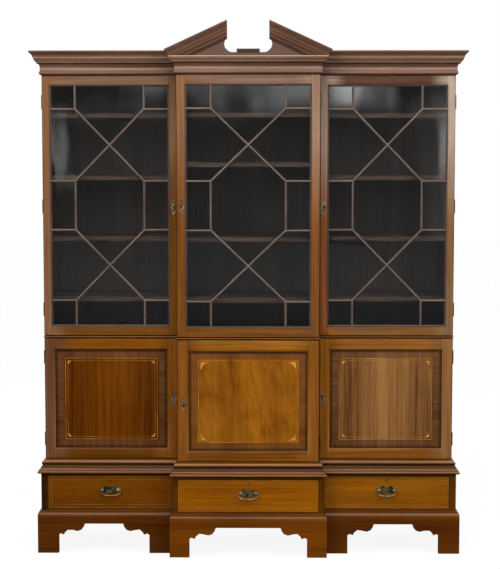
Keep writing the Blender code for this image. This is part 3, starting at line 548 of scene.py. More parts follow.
def add_door_frames(number, name):
    edge, way = hinge_edge(name)

    def knuckle(x, y, z):
        return ((x - edge) * way).above(0.0002)

    across = DOOR_EDGES[name]
    for kind, stile, rails, hues, sheen in (
            ("lower_door", LOWER_STILES[name], LOWER_RAILS, LOWER_HUES[name], (0, 0)),
            ("upper_door", UPPER_STILES[name], UPPER_RAILS, UPPER_HUES[name], STILE_SHEEN[name])):
        node = f"{kind}_{name}"
        tall = spans(node)[2]
        sight_x, sight_z = shrunk(across, stile), shrunk(tall, *rails)
        # Dark lines of the frame: painted shade at its outer edge and round its opening, and its
        # dark joints
        material = timber(f"{node}_timber", frame_hues(hues, sight_x, sight_z, sheen), UPRIGHT,
                          rails_between(*sight_x), seed=1.9 * number + stile * 100, metal=knuckle,
                          grime=framed(across, tall, sight_x, sight_z, 0.003), streaks=0.75,
                          coat=0.5, polish=0.07)
        eased(node, material, door_body(kind, name), "frame_mahogany")


def add_drawer(number, name):
    x_span, (front, rear), z_span = spans(f"drawer_{name}")

    def sides(x, y, z):
        return y.above(front + DRAWER_FRONT_THICKNESS)

    # Painted shade along the drawer front's edges, for the gap round it
    material = timber(f"drawer_{name}_timber", DRAWER_HUES[name], LEVEL, seed=number * 3.3,
                      lining=sides, coat=0.35, grime=rim(x_span, z_span, 0.0012))
    eased(f"drawer_{name}", material, f"{name}_drawer", "drawer_mahogany")


def eased(node, material, body, slot):
    """A copy of a solid with its loose triangles joined and a small chamfer along its arrises."""
    bm = bmesh.new()
    bm.from_mesh(NODES[node].data)
    bmesh.ops.remove_doubles(bm, verts=bm.verts, dist=1e-5)
    bmesh.ops.dissolve_limit(bm, angle_limit=math.radians(0.5), verts=bm.verts, edges=bm.edges)
    limit = math.radians(SHARP)
    arrises = [edge for edge in bm.edges
               if len(edge.link_faces) == 2 and edge.calc_face_angle(0) > limit and edge.is_convex]
    bmesh.ops.bevel(bm, geom=arrises, offset=ARRIS, segments=1, profile=0.5, affect="EDGES",
                    clamp_overlap=True)
    add_piece(f"{node}_finished", bm, material, body, slot, node)


def glass():
    """Old sheet glass, its faces slightly uneven."""
    finish = Finish("old_glass")
    x, y, z = finish.place()
    swell = finish.noise(x * 6, y, z * 3, detail=1)
    return finish.principled(Base_Color=(236, 240, 240), Roughness=0, Transmission_Weight=1,
                             IOR=1.5, Normal=finish.bump(swell, 0.1, 0.006))


def brass(name, dark, bright, low=0.24, high=0.5):
    """Cast brass under old lacquer, which dulls it in part; low and high are its roughness."""
    finish = Finish(name)
    place = finish.place()
    dull = finish.noise(*place, scale=170, detail=3)
    mottle = finish.noise(*place, scale=45)
    colour = finish.blend((dull * 0.5 + mottle * 0.5).ramp(0.38, 0.62), dark, bright)
    return finish.principled(Base_Color=colour, Metallic=0.8, Normal=finish.bump(dull, 0.2),
                             Roughness=dull.ramp(0.3, 0.7, low, high))


def inlay(name, dark, bright, stretch):
    """Pale boxwood, its grain along the line."""
    finish = Finish(name)
    x, y, z = finish.place()
    grain = finish.noise(x * stretch[0], y * 100, z * stretch[1], detail=3)
    colour = finish.blend(grain.ramp(0.3, 0.7), dark, bright)
    return finish.principled(Base_Color=colour, Roughness=grain.ramp(0.3, 0.7, 0.26, 0.38),
                             Coat_Weight=0.3, Coat_Roughness=0.12)


def add_piece(name, bm, material, body, slot, *replaced, smooth=SHARP):
    """Turn a bmesh into a finished piece, smooth where its faces meet gently."""
    bmesh.ops.remove_doubles(bm, verts=bm.verts, dist=1e-6)
    bmesh.ops.recalc_face_normals(bm, faces=bm.faces)
    limit = math.radians(smooth)
    for face in bm.faces:
        face.smooth = True
    for edge in bm.edges:
        edge.smooth = len(edge.link_faces) == 2 and edge.calc_face_angle(0) < limit
    mesh = bpy.data.meshes.new(name)
    bm.to_mesh(mesh)
    bm.free()
    piece = placed(name, mesh)
    mesh.materials.append(material)
    if replaced:
        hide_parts(*replaced)
    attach(piece, body)


def bridge(bm, low, high):
    """Quads between two closed loops of as many points."""
    for i in range(len(low)):
        j = (i + 1) % len(low)
        bm.faces.new((low[i], low[j], high[j], high[i]))


def skin(bm, rings, closed=False):
    """Join rings of points with quads; an open run gets a cap at each end."""
    loops = [[bm.verts.new(point) for point in ring] for ring in rings]
    for low, high in zip(loops, loops[1:]):
        bridge(bm, low, high)
    if closed:
        bridge(bm, loops[-1], loops[0])
    else:
        bm.faces.new(loops[0])
        bm.faces.new(loops[-1])


def slab(bm, outline, y_span):
    """A flat piece of one outline between two depths."""
    skin(bm, [[(x, y, z) for x, z in outline] for y in y_span])


def plate(outline, holes, seat, steps):
    """A pierced plate on a seat at y; steps from back to face are (inset, height over it)."""
    bm = bmesh.new()
    stacks = [[[bm.verts.new((x, seat - proud, z)) for x, z in inset_polygon(edge, way * inset)]
               for inset, proud in steps]
              for edge, way in [(outline, 1)] + [(hole, -1) for hole in holes]]
    for stack in stacks:
        for low, high in zip(stack, stack[1:]):
            bridge(bm, low, high)
    for end in (0, -1):
        flat = [vert for stack in stacks for vert in stack[end]]
        for triangle in tessellate_polygon([[vert.co for vert in stack[end]] for stack in stacks]):
            bm.faces.new([flat[i] for i in triangle])
    return bm


def inset_polygon(points, distance):
    """Move every side of a counter-clockwise outline inwards by one distance."""
    if not distance:
        return list(points)
    moved = []
    before, after = points[-1:] + points[:-1], points[1:] + points[:1]
    for (ax, az), (bx, bz), (cx, cz) in zip(before, points, after):
        first, second = math.hypot(bx - ax, bz - az), math.hypot(cx - bx, cz - bz)
        ux, uz = (bx - ax) / first, (bz - az) / first
        vx, vz = (cx - bx) / second, (cz - bz) / second
        nx, nz = -(uz + vz), ux + vx
        share = distance / max(0.35, (nx * nx + nz * nz) / 2)
        moved.append((bx + nx * share, bz + nz * share))
    return moved


def corners(x_span, z_span, inset, y):
    """The four corners of an upright rectangle, moved inwards by an inset."""
    (left, right), (low, high) = shrunk(x_span, inset), shrunk(z_span, inset)
    return [(left, y, low), (right, y, low), (right, y, high), (left, y, high)]


def strip_ring(bm, x_span, z_span, width, y_span):
    """A flat rectangular line of stringing, its outer edge on the spans."""
    back, face = y_span
    skin(bm, [corners(x_span, z_span, inset, y)
              for inset, y in ((0, back), (0, face), (width, face), (width, back))], closed=True)


def corner_fan(bm, corner, side_x, side_z, reach, y_span):
    """A spandrel: tapering leaves between a square corner and a hollow quarter circle."""
    centre = (corner[0] + side_x * reach, corner[1] + side_z * reach)

    def point(angle, far):
        return (centre[0] - side_x * math.cos(angle) * far,
                centre[1] - side_z * math.sin(angle) * far)

    def to_square(angle):
        return reach / max(math.cos(angle), math.sin(angle))

    for i in range(FAN_LEAVES):
        low = math.pi / 2 * i / FAN_LEAVES + FAN_GAP
        high = math.pi / 2 * (i + 1) / FAN_LEAVES - FAN_GAP
        if to_square((low + high) / 2) < reach * SHORTEST_LEAF:
            continue
        slab(bm, [point(low, reach), point(high, reach), point(high, to_square(high)),
                  point(low, to_square(low))], y_span)


# Panels: width of the cross-banded bevel and of the tongue in the frame's groove, and the profile
# from the tongue inwards as (inset, distance behind the field)
PANEL_BAND = 0.036
PANEL_TONGUE = 0.0057
PANEL_PROFILE = ((-PANEL_TONGUE, 0.003), (0, 0.003), (PANEL_BAND * 0.35, 0.0022),
                 (PANEL_BAND * 0.75, 0.0013), (PANEL_BAND, 0.001), (PANEL_BAND, 0.0003),
                 (PANEL_BAND + 0.0004, 0))
# Stringing: width, height over the wood, and how deep it and the fittings are let in
LINE_WIDTH, LINE_PROUD, LET_IN = 0.002, 0.00015, 0.0002
# A panel's outer line as insets in x and z, the step to the inner line, and the corner fans
INLAY_EDGES = {"left": (0.0425, 0.0375), "centre": (0.04, 0.0355), "right": (0.0425, 0.0375)}
INLAY_STEP = 0.011
FAN_REACH = {"left": 0.029, "centre": 0.042, "right": 0.029}
FAN_LEAVES, FAN_GAP, SHORTEST_LEAF = 8, math.radians(1.6), 1.01
# The drawer fronts' two lines: inset and width
DRAWER_LINES = ((0.0008, 0.0022), (0.0145, 0.0018))


def ribbon(strength):
    """Narrow bright and dark stripes along the grain, as quarter-cut mahogany has."""
    def figure(along, across, x, y, z):
        finish = x.finish
        stripe = finish.noise(along * 0.5, across * 48, 3.3, detail=3)
        fleck = finish.noise(along * 7, across * 120, 1.1)
        return (stripe - 0.5) * strength + (fleck - 0.5) * strength * 0.5
    return figure


def cloud(strength):
    """The mottled, slanting figure of a crotch veneer."""
    def figure(along, across, x, y, z):
        finish = x.finish
        mottle = finish.noise(x * 8 + z * 3, y, z * 5 - x * 4, detail=5,
                              distortion=0.7)
        feather = finish.noise(x * 46 + z * 12, y, z * 6 - x * 3, detail=4,
                               distortion=0.4)
        return (mottle - 0.5) * strength + (feather - 0.5) * strength * 0.6
    return figure


def panel_timber(number, name, x_span, z_span):
    """A figured field inside a band whose grain runs across it."""
    centre = (halfway(x_span), halfway(z_span))
    half = ((x_span[1] - x_span[0]) / 2, (z_span[1] - z_span[0]) / 2)

    def from_edges(x, z):
        return half[0] - (x - centre[0]).size(), half[1] - (z - centre[1]).size()

    def cross(x, y, z):
        side, end = from_edges(x, z)
        return side.below(end) * side.below(PANEL_BAND), LEVEL

    def band(x, y, z):
        side, end = from_edges(x, z)
        return side.least(end).below(PANEL_BAND)

    veneer = cloud(1.2) if name == "centre" else ribbon(0.9)
    middle_sheen = 0.45 if name == "right" else 0.12

    def figure(along, across, x, y, z):
        # Painted sheen: the panel paler down its middle and darker at its sides, strongest on the
        # right
        pale = ((x - centre[0]).size() / half[0]).ramp(0.1, 0.75, 0.5, -0.5) * middle_sheen
        return (veneer(along, across, x, y, z) + pale) * (1 - band(x, y, z) * 0.7)

    # Painted shadow of the frame along the panel's edges
    def edge_dirt(x, y, z):
        return rim(x_span, z_span, 0.014)(x, y, z) * 0.5

    return timber(f"panel_{name}_timber", PANEL_HUES[name], UPRIGHT, cross, seed=number * 2.7,
                  streaks=0.35 if name == "centre" else 0.7, gloss=0.22, figure=figure,
                  shade=(band, BAND_HUES[name]), grime=edge_dirt, coat=0.4, polish=0.1)


def add_panels():
    """Fielded panels: a cross-banded bevel round a figured field."""
    for number, name in enumerate(DOOR_NAMES):
        x_ends, (face, back), z_ends = spans(f"door_panel_{name}")
        x_span, z_span = shrunk(x_ends, PANEL_TONGUE), shrunk(z_ends, PANEL_TONGUE)
        bm = bmesh.new()
        skin(bm, [corners(x_span, z_span, -PANEL_TONGUE, back)]
             + [corners(x_span, z_span, inset, face + behind) for inset, behind in PANEL_PROFILE])
        add_piece(f"panel_{name}", bm, panel_timber(number, name, x_span, z_span),
                  DOOR_BODY.format(name), "panel_mahogany", f"door_panel_{name}", smooth=12)


def add_panel_inlays():
    """Fans in the panels' corners and stringing round them; the side panels have two lines."""
    bright = inlay("boxwood_inlay", (196, 132, 50), (228, 166, 78), (30, 30))
    wear_and_light_tone = inlay("worn_stringing", (134, 82, 22), (190, 132, 56), (14, 14))
    for name in DOOR_NAMES:
        x_span, (face, back), z_span = spans(f"door_panel_{name}")
        outer_x, outer_z = (shrunk(ends, PANEL_TONGUE + edge)
                            for ends, edge in zip((x_span, z_span), INLAY_EDGES[name]))
        inner_x, inner_z = shrunk(outer_x, INLAY_STEP), shrunk(outer_z, INLAY_STEP)
        y_span = (face + LET_IN, face - LINE_PROUD)
        fans, lines = bmesh.new(), bmesh.new()
        strip_ring(lines, outer_x, outer_z, LINE_WIDTH, y_span)
        if name != "centre":
            strip_ring(lines, inner_x, inner_z, LINE_WIDTH * 0.6, y_span)
        for side_x, x in ((1, inner_x[0]), (-1, inner_x[1])):
            for side_z, z in ((1, inner_z[0]), (-1, inner_z[1])):
                corner_fan(fans, (x, z), side_x, side_z, FAN_REACH[name], y_span)
        add_piece(f"panel_fans_{name}", fans, bright, DOOR_BODY.format(name), "panel_mahogany")
        add_piece(f"panel_lines_{name}", lines, wear_and_light_tone, DOOR_BODY.format(name), "panel_mahogany")


def add_drawer_inlays():
    line = inlay("drawer_stringing", (118, 74, 22), (158, 110, 44), (12, 60))
    for name in DOOR_NAMES:
        x_span, (face, back), z_span = spans(f"drawer_{name}")
        bm = bmesh.new()
        for inset, width in DRAWER_LINES:
            strip_ring(bm, shrunk(x_span, inset), shrunk(z_span, inset), width,
                       (face + LET_IN, face - LINE_PROUD))
        add_piece(f"drawer_inlay_{name}", bm, line, f"{name}_drawer", "drawer_mahogany")


def upturned(points):
    """The mirror image above of a line of points drawn upwards below the middle."""
    return [(a, -b) for a, b in reversed(points)]


# Pierced escutcheon: right halves in millimetres, upwards from the lowest point
SCUTCHEON_QUARTER = [(0, -35.5), (1.6, -32), (3.6, -30.6), (5.6, -28), (4, -25),
                     (5.2, -22.4), (8.2, -20.8), (9.2, -17.4), (7, -14.2), (6, -11.4),
                     (8.4, -8.6), (10.8, -4.6), (11, 0)]
SCUTCHEON_HALF = SCUTCHEON_QUARTER + upturned(SCUTCHEON_QUARTER[:-1])
LOWER_HOLE = [(0, -27), (2, -22), (3.6, -17.6), (2.2, -13.6), (0, -12)]
KEYHOLE_HALF = [(0, -6.4), (2, -6.2), (1.3, 0.6), (2.6, 2.2), (2.9, 4.2), (1.8, 6.2), (0, 6.8)]
# Edges of plates from back to face: inset and height over the wood
SCUTCHEON_STEPS = ((0, 0.0001), (0, 0.0008), (0.0004, 0.0013))
RIM_STEPS = ((0, -LET_IN), (0, 0.0002), (0.0002, 0.0004))
# Escutcheons: end of the body's name, bay, x, z
SCUTCHEONS = [("glazed_door", "left", -0.337, 1.5785), ("glazed_door", "centre", -0.2975, 1.58),
              ("glazed_door", "right", 0.3375, 1.5785), ("cupboard_door", "left", -0.339, 0.7056),
              ("cupboard_door", "centre", -0.2925, 0.696),
              ("cupboard_door", "right", 0.3375, 0.7056)]
# Drawer keyholes: height, scale of the outline, width of the brass rim
DRAWER_KEYHOLE_Z, DRAWER_KEYHOLE_SCALE, RIM_WIDTH = 0.336, 0.00115, 0.0011


def mirrored(half, x, z, scale=0.001):
    """A counter-clockwise outline from its right half, placed at x and z."""
    right = [(x + a * scale, z + b * scale) for a, b in half]
    return right + [(x - a * scale, z + b * scale) for a, b in reversed(half[1:-1])]


def keyhole_shadow():
    finish = Finish("keyhole_dark")
    depth = finish.noise(*finish.place(), scale=300)
    return finish.principled(Base_Color=finish.blend(depth, (12, 8, 6), (26, 18, 12)),
                             Roughness=0.8)


def add_escutcheons():
    """Pierced plates on the doors, brass rims on the drawers, and dark sheets in their keyholes as
    painted shadow.
    """
    cast = brass("escutcheon_brass", (84, 64, 40), (236, 214, 176), 0.16, 0.34)
    dark = keyhole_shadow()
    for stem, name, x, z in SCUTCHEONS:
        face = BAY_FACES[name]
        keyhole = mirrored(KEYHOLE_HALF, x, z)
        holes = [mirrored(hole, x, z) for hole in (LOWER_HOLE, upturned(LOWER_HOLE))]
        cast_plate = plate(mirrored(SCUTCHEON_HALF, x, z), holes + [keyhole], face, SCUTCHEON_STEPS)
        add_piece(f"escutcheon_{stem}_{name}", cast_plate, cast, f"{name}_{stem}", "aged_brass")
        bm = bmesh.new()
        slab(bm, inset_polygon(keyhole, -0.0003), (face + LET_IN, face - 0.0002))
        add_piece(f"keyhole_{stem}_{name}", bm, dark, f"{name}_{stem}", "aged_brass")
    for name in DOOR_NAMES:
        x_span, (face, back), z_span = spans(f"drawer_{name}")
        keyhole = mirrored(KEYHOLE_HALF, halfway(x_span), DRAWER_KEYHOLE_Z, DRAWER_KEYHOLE_SCALE)
        rim_plate = plate(inset_polygon(keyhole, -RIM_WIDTH), [keyhole], face, RIM_STEPS)
        add_piece(f"keyhole_rim_{name}", rim_plate, cast, f"{name}_drawer", "aged_brass")
        bm = bmesh.new()
        slab(bm, inset_polygon(keyhole, -0.0004), (face + LET_IN, face - 0.0001))
        add_piece(f"drawer_keyhole_{name}", bm, dark, f"{name}_drawer", "aged_brass")


# Glazing. A corner's name is its column, from L by A, M and B to R, and its row, from 0 to 5, or c
# or d where bars cross. A pane is the corners round it, and a bar the two it joins.
PANES = ("A2McB2B3MdA3 A0B0B1McA1 A4MdB4B5A5 L0A0A1L1 B0R0R1B1 L2A2A3L3 B2R2R3B3 L4A4A5L5 B4R4R5B5 "
         "L1A1McA2L2 B1R1R2B2Mc L3A3MdA4L4 B3R3R4B4Md")
BARS = ("A0A1 B0B1 A2A3 B2B3 A4A5 B4B5 A1Mc B1Mc A2Mc B2Mc A3Md B3Md A4Md B4Md "
        "L1A1 B1R1 L2A2 B2R2 L3A3 B3R3 L4A4 B4R4")
# The border's width, the level bars' heights, the glass hidden by the frame, the gap and half the
# thickness of a pane, and the slopes at which panes lean
BAR_INSET = 0.1125
BAR_ROWS = (1.1562, 1.4752, 1.6952, 2.0172)
GLASS_REBATE, PANE_GAP, PANE_HALF = 0.0065, 0.0003, 0.0007
PANE_LEANS = (0.0006, -0.001, 0.0012, -0.0005, 0.0009, -0.0012, 0.0003, 0.001, -0.0007, 0.0005,
              -0.001, 0.0007, -0.0003, 0.001, -0.0006)
BEAD_RADIUS, BEAD_SET = 0.0024, 0.0006


def glazing(shapes, x_span, z_span):
    """Runs of points between the two spans, from the names of their corners."""
    x1, x2 = shrunk(x_span, BAR_INSET)
    z1, z2, z3, z4 = BAR_ROWS
    columns = {"L": x_span[0], "A": x1, "M": halfway((x1, x2)), "B": x2, "R": x_span[1]}
    rows = {"0": z_span[0], "1": z1, "2": z2, "3": z3, "4": z4, "5": z_span[1],
            "c": halfway((z1, z2)), "d": halfway((z3, z4))}
    return [[(columns[a], rows[b]) for a, b in zip(shape[::2], shape[1::2])]
            for shape in shapes.split()]


def add_panes():
    """Separate panes, each leaning a little its own way."""
    sheet = glass()
    for door, name in enumerate(DOOR_NAMES):
        x_span, y_span, z_span = spans(f"door_glass_{name}")
        middle = halfway(y_span)
        panes = glazing(PANES, shrunk(x_span, GLASS_REBATE), shrunk(z_span, GLASS_REBATE))
        bm = bmesh.new()
        for number, pane in enumerate(panes):
            lean_x = PANE_LEANS[(number * 4 + door * 5) % len(PANE_LEANS)]
            lean_z = PANE_LEANS[(number * 7 + door * 3 + 2) % len(PANE_LEANS)]
            centre_x, centre_z = (sum(places) / len(pane) for places in zip(*pane))
            ring = [(x, middle + lean_x * (x - centre_x) + lean_z * (z - centre_z), z)
                    for x, z in inset_polygon(pane, PANE_GAP)]
            skin(bm, [[(x, y + half, z) for x, y, z in ring] for half in (-PANE_HALF, PANE_HALF)])
        add_piece(f"panes_{name}", bm, sheet, GLAZED_BODY.format(name), "old_glass",
                  f"door_glass_{name}")


def add_beads():
    """The rounded bead that runs along the middle of every glazing bar."""
    tree = Growth("astragal_bead", "Bead radius")
    radius = tree.given["Bead radius"]
    route = tree.part("MeshToCurve", tree.given["Geometry"])
    ring = tree.part("CurvePrimitiveCircle", Resolution=10, Radius=radius)
    bead = tree.part("CurveToMesh", Curve=route, Profile_Curve=ring, Fill_Caps=True)
    knot = tree.part("MeshIcoSphere", Radius=radius, Subdivisions=2)
    knots = tree.part("InstanceOnPoints", Points=tree.given["Geometry"], Instance=knot)
    tree.end(tree.part("JoinGeometry", [bead, knots]),
             timber("bead_timber", BEAD_HIGHLIGHT_HUE, LEVEL, seed=2.9, gloss=0.26, coat=0.5, polish=0.1))
    for name in DOOR_NAMES:
        x_span, (front, back), z_span = spans(f"door_lattice_{name}")
        bars = glazing(BARS, x_span, z_span)
        points = sorted({point for bar in bars for point in bar})
        edges = [(points.index(a), points.index(b)) for a, b in bars]
        tree.grow(f"bead_{name}", [(x, front + BEAD_SET, z) for x, z in points], edges,
                  GLAZED_BODY.format(name), "frame_mahogany", **{"Bead radius": BEAD_RADIUS})


# Hinges: places as shares of a door's height, a leaf's sizes, how far its back and its face lie
# inside and over the wood, and the gap between a door's back and the case's leaf
HINGE_SHARES = {"lower_door": (0.16, 0.84), "upper_door": (0.1, 0.5, 0.9)}
LEAF_WIDTH, LEAF_LENGTH, LEAF_BACK, LEAF_FACE = 0.021, 0.062, 0.00005, 0.00016
DOOR_THICKNESS, HINGE_GAP = 0.022, 0.0005
# A leaf's screws, and their distance from its edge as a share of its width
SCREWS = {"Screw radius": 0.0026, "Pitch": 0.0195, "Proud": 0.00016}
SCREW_SHARE = 0.6


def screw_rows(metal):
    """Three screw heads in an upright row from each point."""
    tree = Growth("hinge_screws", *SCREWS)
    head = tree.part("MeshCylinder", Vertices=16, Radius=tree.given["Screw radius"],
                     Depth=tree.given["Proud"])
    turned = tree.part("Transform", Geometry=head, Rotation=(math.pi / 2, 0, 0))
    row = tree.part("MeshLine", Count=3, Offset=tree.vector(0, 0, tree.given["Pitch"]))
    rows = tree.part("InstanceOnPoints", Points=row, Instance=turned)
    tree.end(tree.part("InstanceOnPoints", Points=tree.given["Geometry"], Instance=rows), metal,
             smooth=False)
    return tree


def add_hinge_leaves():
    """Brass leaves on the doors' backs and the uprights' edges, each with three screws."""
    metal = brass("hinge_brass", (120, 94, 48), (196, 164, 104))
    tree = screw_rows(metal)
    for name in DOOR_NAMES:
        edge, way = hinge_edge(name)
        inner, row = edge - way * LEAF_WIDTH, edge - way * LEAF_WIDTH * SCREW_SHARE
        back = BAY_FACES[name] + DOOR_THICKNESS
        for kind, shares in HINGE_SHARES.items():
            low, high = spans(f"{kind}_{name}")[2]
            middles = [low + share * (high - low) for share in shares]
            for owner, y, out, rides in (("door", back, 1, door_body(kind, name)),
                                         ("case", back + HINGE_GAP, -1, "carcase")):
                face = y + out * LEAF_FACE
                bm = bmesh.new()
                for z in middles:
                    ends = (z - LEAF_LENGTH / 2, z + LEAF_LENGTH / 2)
                    skin(bm, [corners((edge, inner), ends, 0, level)
                              for level in (y - out * LEAF_BACK, face)])
                add_piece(f"hinge_leaf_{owner}_{kind}_{name}", bm, metal, rides, "aged_brass")
                seats = [(row, face, z - SCREWS["Pitch"]) for z in middles]
                tree.grow(f"hinge_screw_{owner}_{kind}_{name}", seats, [], rides, "aged_brass",
                          **SCREWS)


# Handles: the right half of the plate, from its lowest point up, in shares of its half sizes
PLATE_SHARES = [(0, -1), (0.06, -0.82), (0.14, -0.86), (0.26, -0.74), (0.4, -0.8), (0.53, -0.62),
                (0.62, -0.46), (0.76, -0.5), (0.86, -0.3), (0.84, -0.06), (0.95, 0.04), (1, 0.28),
                (0.9, 0.34), (0.8, 0.52), (0.67, 0.44), (0.56, 0.62), (0.47, 0.96), (0.36, 1),
                (0.27, 0.78), (0.17, 0.72), (0.09, 0.86), (0, 0.7)]
PLATE_HALF = (0.05, 0.021)
PLATE_STEPS = ((0, 0), (0, 0.001), (0.0006, 0.0016))
# Posts: distance from the middle, and (radius, distance from the seat) along them
POST_SPREAD = 0.0345
POST_PROFILE = [(0.0062, -0.001), (0.0062, -0.0022), (0.0045, -0.0034), (0.0036, -0.006),
                (0.0038, -0.01), (0.0046, -0.0122), (0.006, -0.0136), (0.0064, -0.0152),
                (0.0058, -0.017), (0.004, -0.0184), (0.0014, -0.0191)]
POST_SIDES, BAIL_SIDES, BAIL_STEPS = 20, 12, 20
# Bail: half width, drop, half width at the pins, radius and what the bottom has more, the height
# of its top over its axis, and the power that squares its curve
BAIL_REACH, BAIL_DROP, BAIL_PIN = 0.046, 0.026, 0.039
BAIL_RADIUS, BAIL_SWELL, BAIL_RISE, BAIL_SQUARING = 0.0019, 0.001, 0.0023, 0.77


def rounded(points, closed):
    """One round of corner cutting on a line of points."""
    pairs = list(zip(points, points[1:] + points[:1])) if closed else list(zip(points, points[1:]))
    cut = [tuple(share * p + (1 - share) * q for p, q in zip(a, b))
           for a, b in pairs for share in (0.75, 0.25)]
    return cut if closed else [points[0]] + cut + [points[-1]]


def circle(count):
    """Points round a circle of radius 1."""
    return [(math.cos(math.tau * i / count), math.sin(math.tau * i / count)) for i in range(count)]


def bail_route():
    """The middle line of a bail, as distances across and up from its axis."""
    route = [(-BAIL_PIN, 0)]
    for step in range(BAIL_STEPS + 1):
        angle = math.pi * step / BAIL_STEPS
        across, down = -math.cos(angle), abs(math.sin(angle)) ** BAIL_SQUARING
        route.append((math.copysign(abs(across) ** BAIL_SQUARING, across) * BAIL_REACH,
                      -down * BAIL_DROP))
    return rounded(route + [(BAIL_PIN, 0)], False)


def add_bail(name, x, z, metal):
    """A swan-neck bail, thickest at the bottom of its curve."""
    route = bail_route()
    axis_y = halfway(spans(f"bail_{name}")[1])
    rings = []
    for i, (across, up) in enumerate(route):
        before, after = route[max(i - 1, 0)], route[min(i + 1, len(route) - 1)]
        dx, dz = after[0] - before[0], after[1] - before[1]
        length = math.hypot(dx, dz)
        radius = BAIL_RADIUS + BAIL_SWELL * (up / -BAIL_DROP) ** 2
        rings.append([(x + across - dz / length * cosine * radius, axis_y + sine * radius,
                       z + up + dx / length * cosine * radius)
                      for cosine, sine in circle(BAIL_SIDES)])
    bm = bmesh.new()
    skin(bm, rings)
    add_piece(f"swan_bail_{name}", bm, metal, f"{name}_bail", "aged_brass", f"bail_{name}",
              smooth=60)


def add_handles():
    """Plates, posts and bails of the three drawers."""
    plate_brass = brass("handle_plate_brass", (44, 38, 22), (150, 138, 100), 0.26, 0.48)
    bright = brass("bail_brass", (120, 108, 74), (214, 200, 156), 0.16, 0.3)
    for name in DOOR_NAMES:
        x_span, (front, seat), z_span = spans(f"handle_plate_{name}")
        x, z = halfway(x_span), spans(f"bail_{name}")[2][1] - BAIL_RISE
        outline = rounded([(x + a * PLATE_HALF[0], z + b * PLATE_HALF[1])
                           for a, b in mirrored(PLATE_SHARES, 0, 0, 1)], True)
        add_piece(f"backplate_{name}", plate(outline, [], seat, PLATE_STEPS), plate_brass,
                  f"{name}_drawer", "aged_brass", f"handle_plate_{name}")
        bm = bmesh.new()
        for middle in (x - POST_SPREAD, x + POST_SPREAD):
            skin(bm, [[(middle + radius * cosine, seat + y, z + radius * sine)
                       for cosine, sine in circle(POST_SIDES)] for radius, y in POST_PROFILE])
        add_piece(f"handle_posts_{name}", bm, bright, f"{name}_drawer", "aged_brass", smooth=50)
        add_bail(name, x, z, bright)


# Lamps: name, place, aim, size, power
SOFTBOXES = (("key_light", (-3.2, -4.2, 3.6), (0, 0, 1.3), (2.4, 2.4), 102),
             ("fill_light", (3.4, -4, 3.2), (0, 0, 1.2), (2.4, 2.4), 85),
             ("top_light", (0, -2.2, 4.6), (0, 0, 1.5), (3, 1.6), 98))
# Lamps and windows seen in reflections, as slopes from straight ahead: middle, half size, strength
SOFT_PATCHES = (((0.175, 0), (0.05, 0.2), 0.8), ((0.059, 0.057), (0.01, 0.01), 2.6),
                ((0.018, 0.06), (0.024, 0.014), 1.2), ((-0.1443, 0.017), (0.0048, 0.02), 1.1),
                ((0.1264, 0.021), (0.0038, 0.022), 1.7))
WHITE = (1, 1, 1, 1)
FLOOR_GREY, FLOOR_SEEN = (92, 92, 92), (250, 250, 250)


def set_camera():
    data = bpy.data.cameras.new("camera")
    data.lens = LENS
    camera = placed("camera", data)
    camera.location = CAMERA_PLACE
    camera.rotation_euler = [math.radians(angle) for angle in CAMERA_TURN]
    bpy.context.scene.camera = camera


def add_softbox(name, place, aim, size, power):
    """A soft rectangular lamp turned to its aim, which polished faces don't mirror."""
    data = bpy.data.lights.new(name, "AREA")
    data.shape = "RECTANGLE"
    data.size, data.size_y = size
    data.energy = power
    light = placed(name, data)
    light.location = place
    light.visible_glossy = False
    x, y, z = (a - p for a, p in zip(aim, place))
    light.rotation_euler = (math.atan2(math.hypot(x, y), -z), 0, math.atan2(y, x) - math.pi / 2)


def soft_patch(across, up, middle, half, strength):
    """A softly edged lamp seen in reflections."""
    wide = ((across - middle[0]) / half[0]).size().ramp(0.4, 1.4, 1, 0)
    tall = ((up - middle[1]) / half[1]).size().ramp(0.4, 1.4, 1, 0)
    return wide * tall * strength


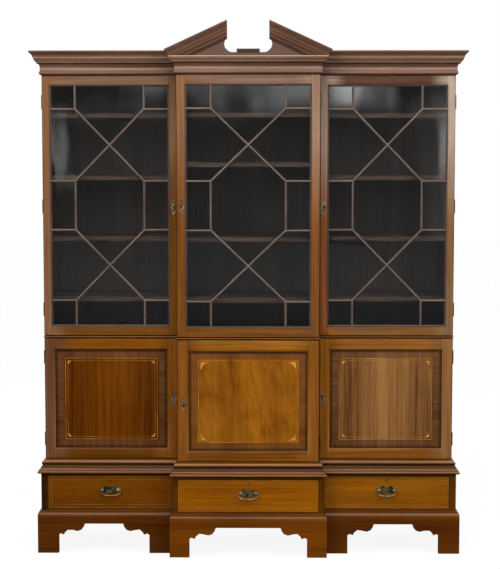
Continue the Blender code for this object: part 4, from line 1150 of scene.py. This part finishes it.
def light_studio():
    """Three lamps, and a world that is white to the camera and a dim room to reflections."""
    for lamp in SOFTBOXES:
        add_softbox(*lamp)
    world = bpy.data.worlds.new("studio")
    bpy.context.scene.world = world
    finish = Finish("studio", world)
    x, y, z = finish.place("Generated")
    camera, glossy, clear, bounces = finish.rays("Is Camera Ray", "Is Glossy Ray",
                                                 "Is Transmission Ray", "Diffuse Depth")
    mirrored_ray = (glossy + clear).held() * (1 - camera) * bounces.below(0.5)
    ahead = (0 - y).most(0.02)
    across, up = x / ahead, z / ahead
    lamps = sum(soft_patch(across, up, *patch) for patch in SOFT_PATCHES)
    mottle = finish.noise(across * 14, up * 20, 1.7)
    lamps = lamps + mottle.ramp(0.4, 0.72, 0, 1.5) * up.ramp(0.03, 0.06)
    room = up.ramp(-0.13, 0, 0.02, 0.13) + z.ramp(0.15, 0.6, 0, 0.3)
    behind = y.ramp(-0.15, 0.25)
    seen = behind + (1 - behind) * (room + lamps)
    ambient = z.ramp(-0.45, 0.8, 0.29, 0.95)
    strength = camera + mirrored_ray * seen + (1 - (camera + mirrored_ray).held()) * ambient
    finish.surface(finish.node("ShaderNodeBackground", values={0: WHITE, 1: strength}))


def add_floor():
    """A floor nearly white to the camera and grey to the light around it."""
    bm = bmesh.new()
    bmesh.ops.create_grid(bm, x_segments=1, y_segments=1, size=30)
    mesh = bpy.data.meshes.new("floor")
    bm.to_mesh(mesh)
    bm.free()
    floor = placed("floor", mesh)
    finish = Finish("pale_floor")
    y = finish.place()[1]
    camera, glossy, bounces = finish.rays("Is Camera Ray", "Is Glossy Ray", "Diffuse Depth")
    mirrored_ray = glossy * (1 - camera) * bounces.below(0.5)
    colour = finish.blend(camera, FLOOR_GREY, FLOOR_SEEN)
    matt = finish.node("ShaderNodeBsdfDiffuse", values={0: colour})
    strength = camera + mirrored_ray * (0 - y).ramp(3, 18, 0.02, 0.22)
    glow = finish.node("ShaderNodeEmission", values={0: WHITE, 1: strength})
    share = camera * 0.9 + mirrored_ray
    mixed = finish.node("ShaderNodeMixShader", values={0: share, 1: matt, 2: glow})
    mesh.materials.append(finish.surface(mixed))


set_camera()
light_studio()
add_floor()
dress_carcass()
add_mouldings()
add_door_timber()
add_panels()
add_handles()
add_beads()
add_hinge_leaves()
add_panel_inlays()
add_drawer_inlays()
add_escutcheons()
add_panes()

view = bpy.context.scene.view_settings
view.view_transform = "Standard"

bpy.context.view_layer.update()
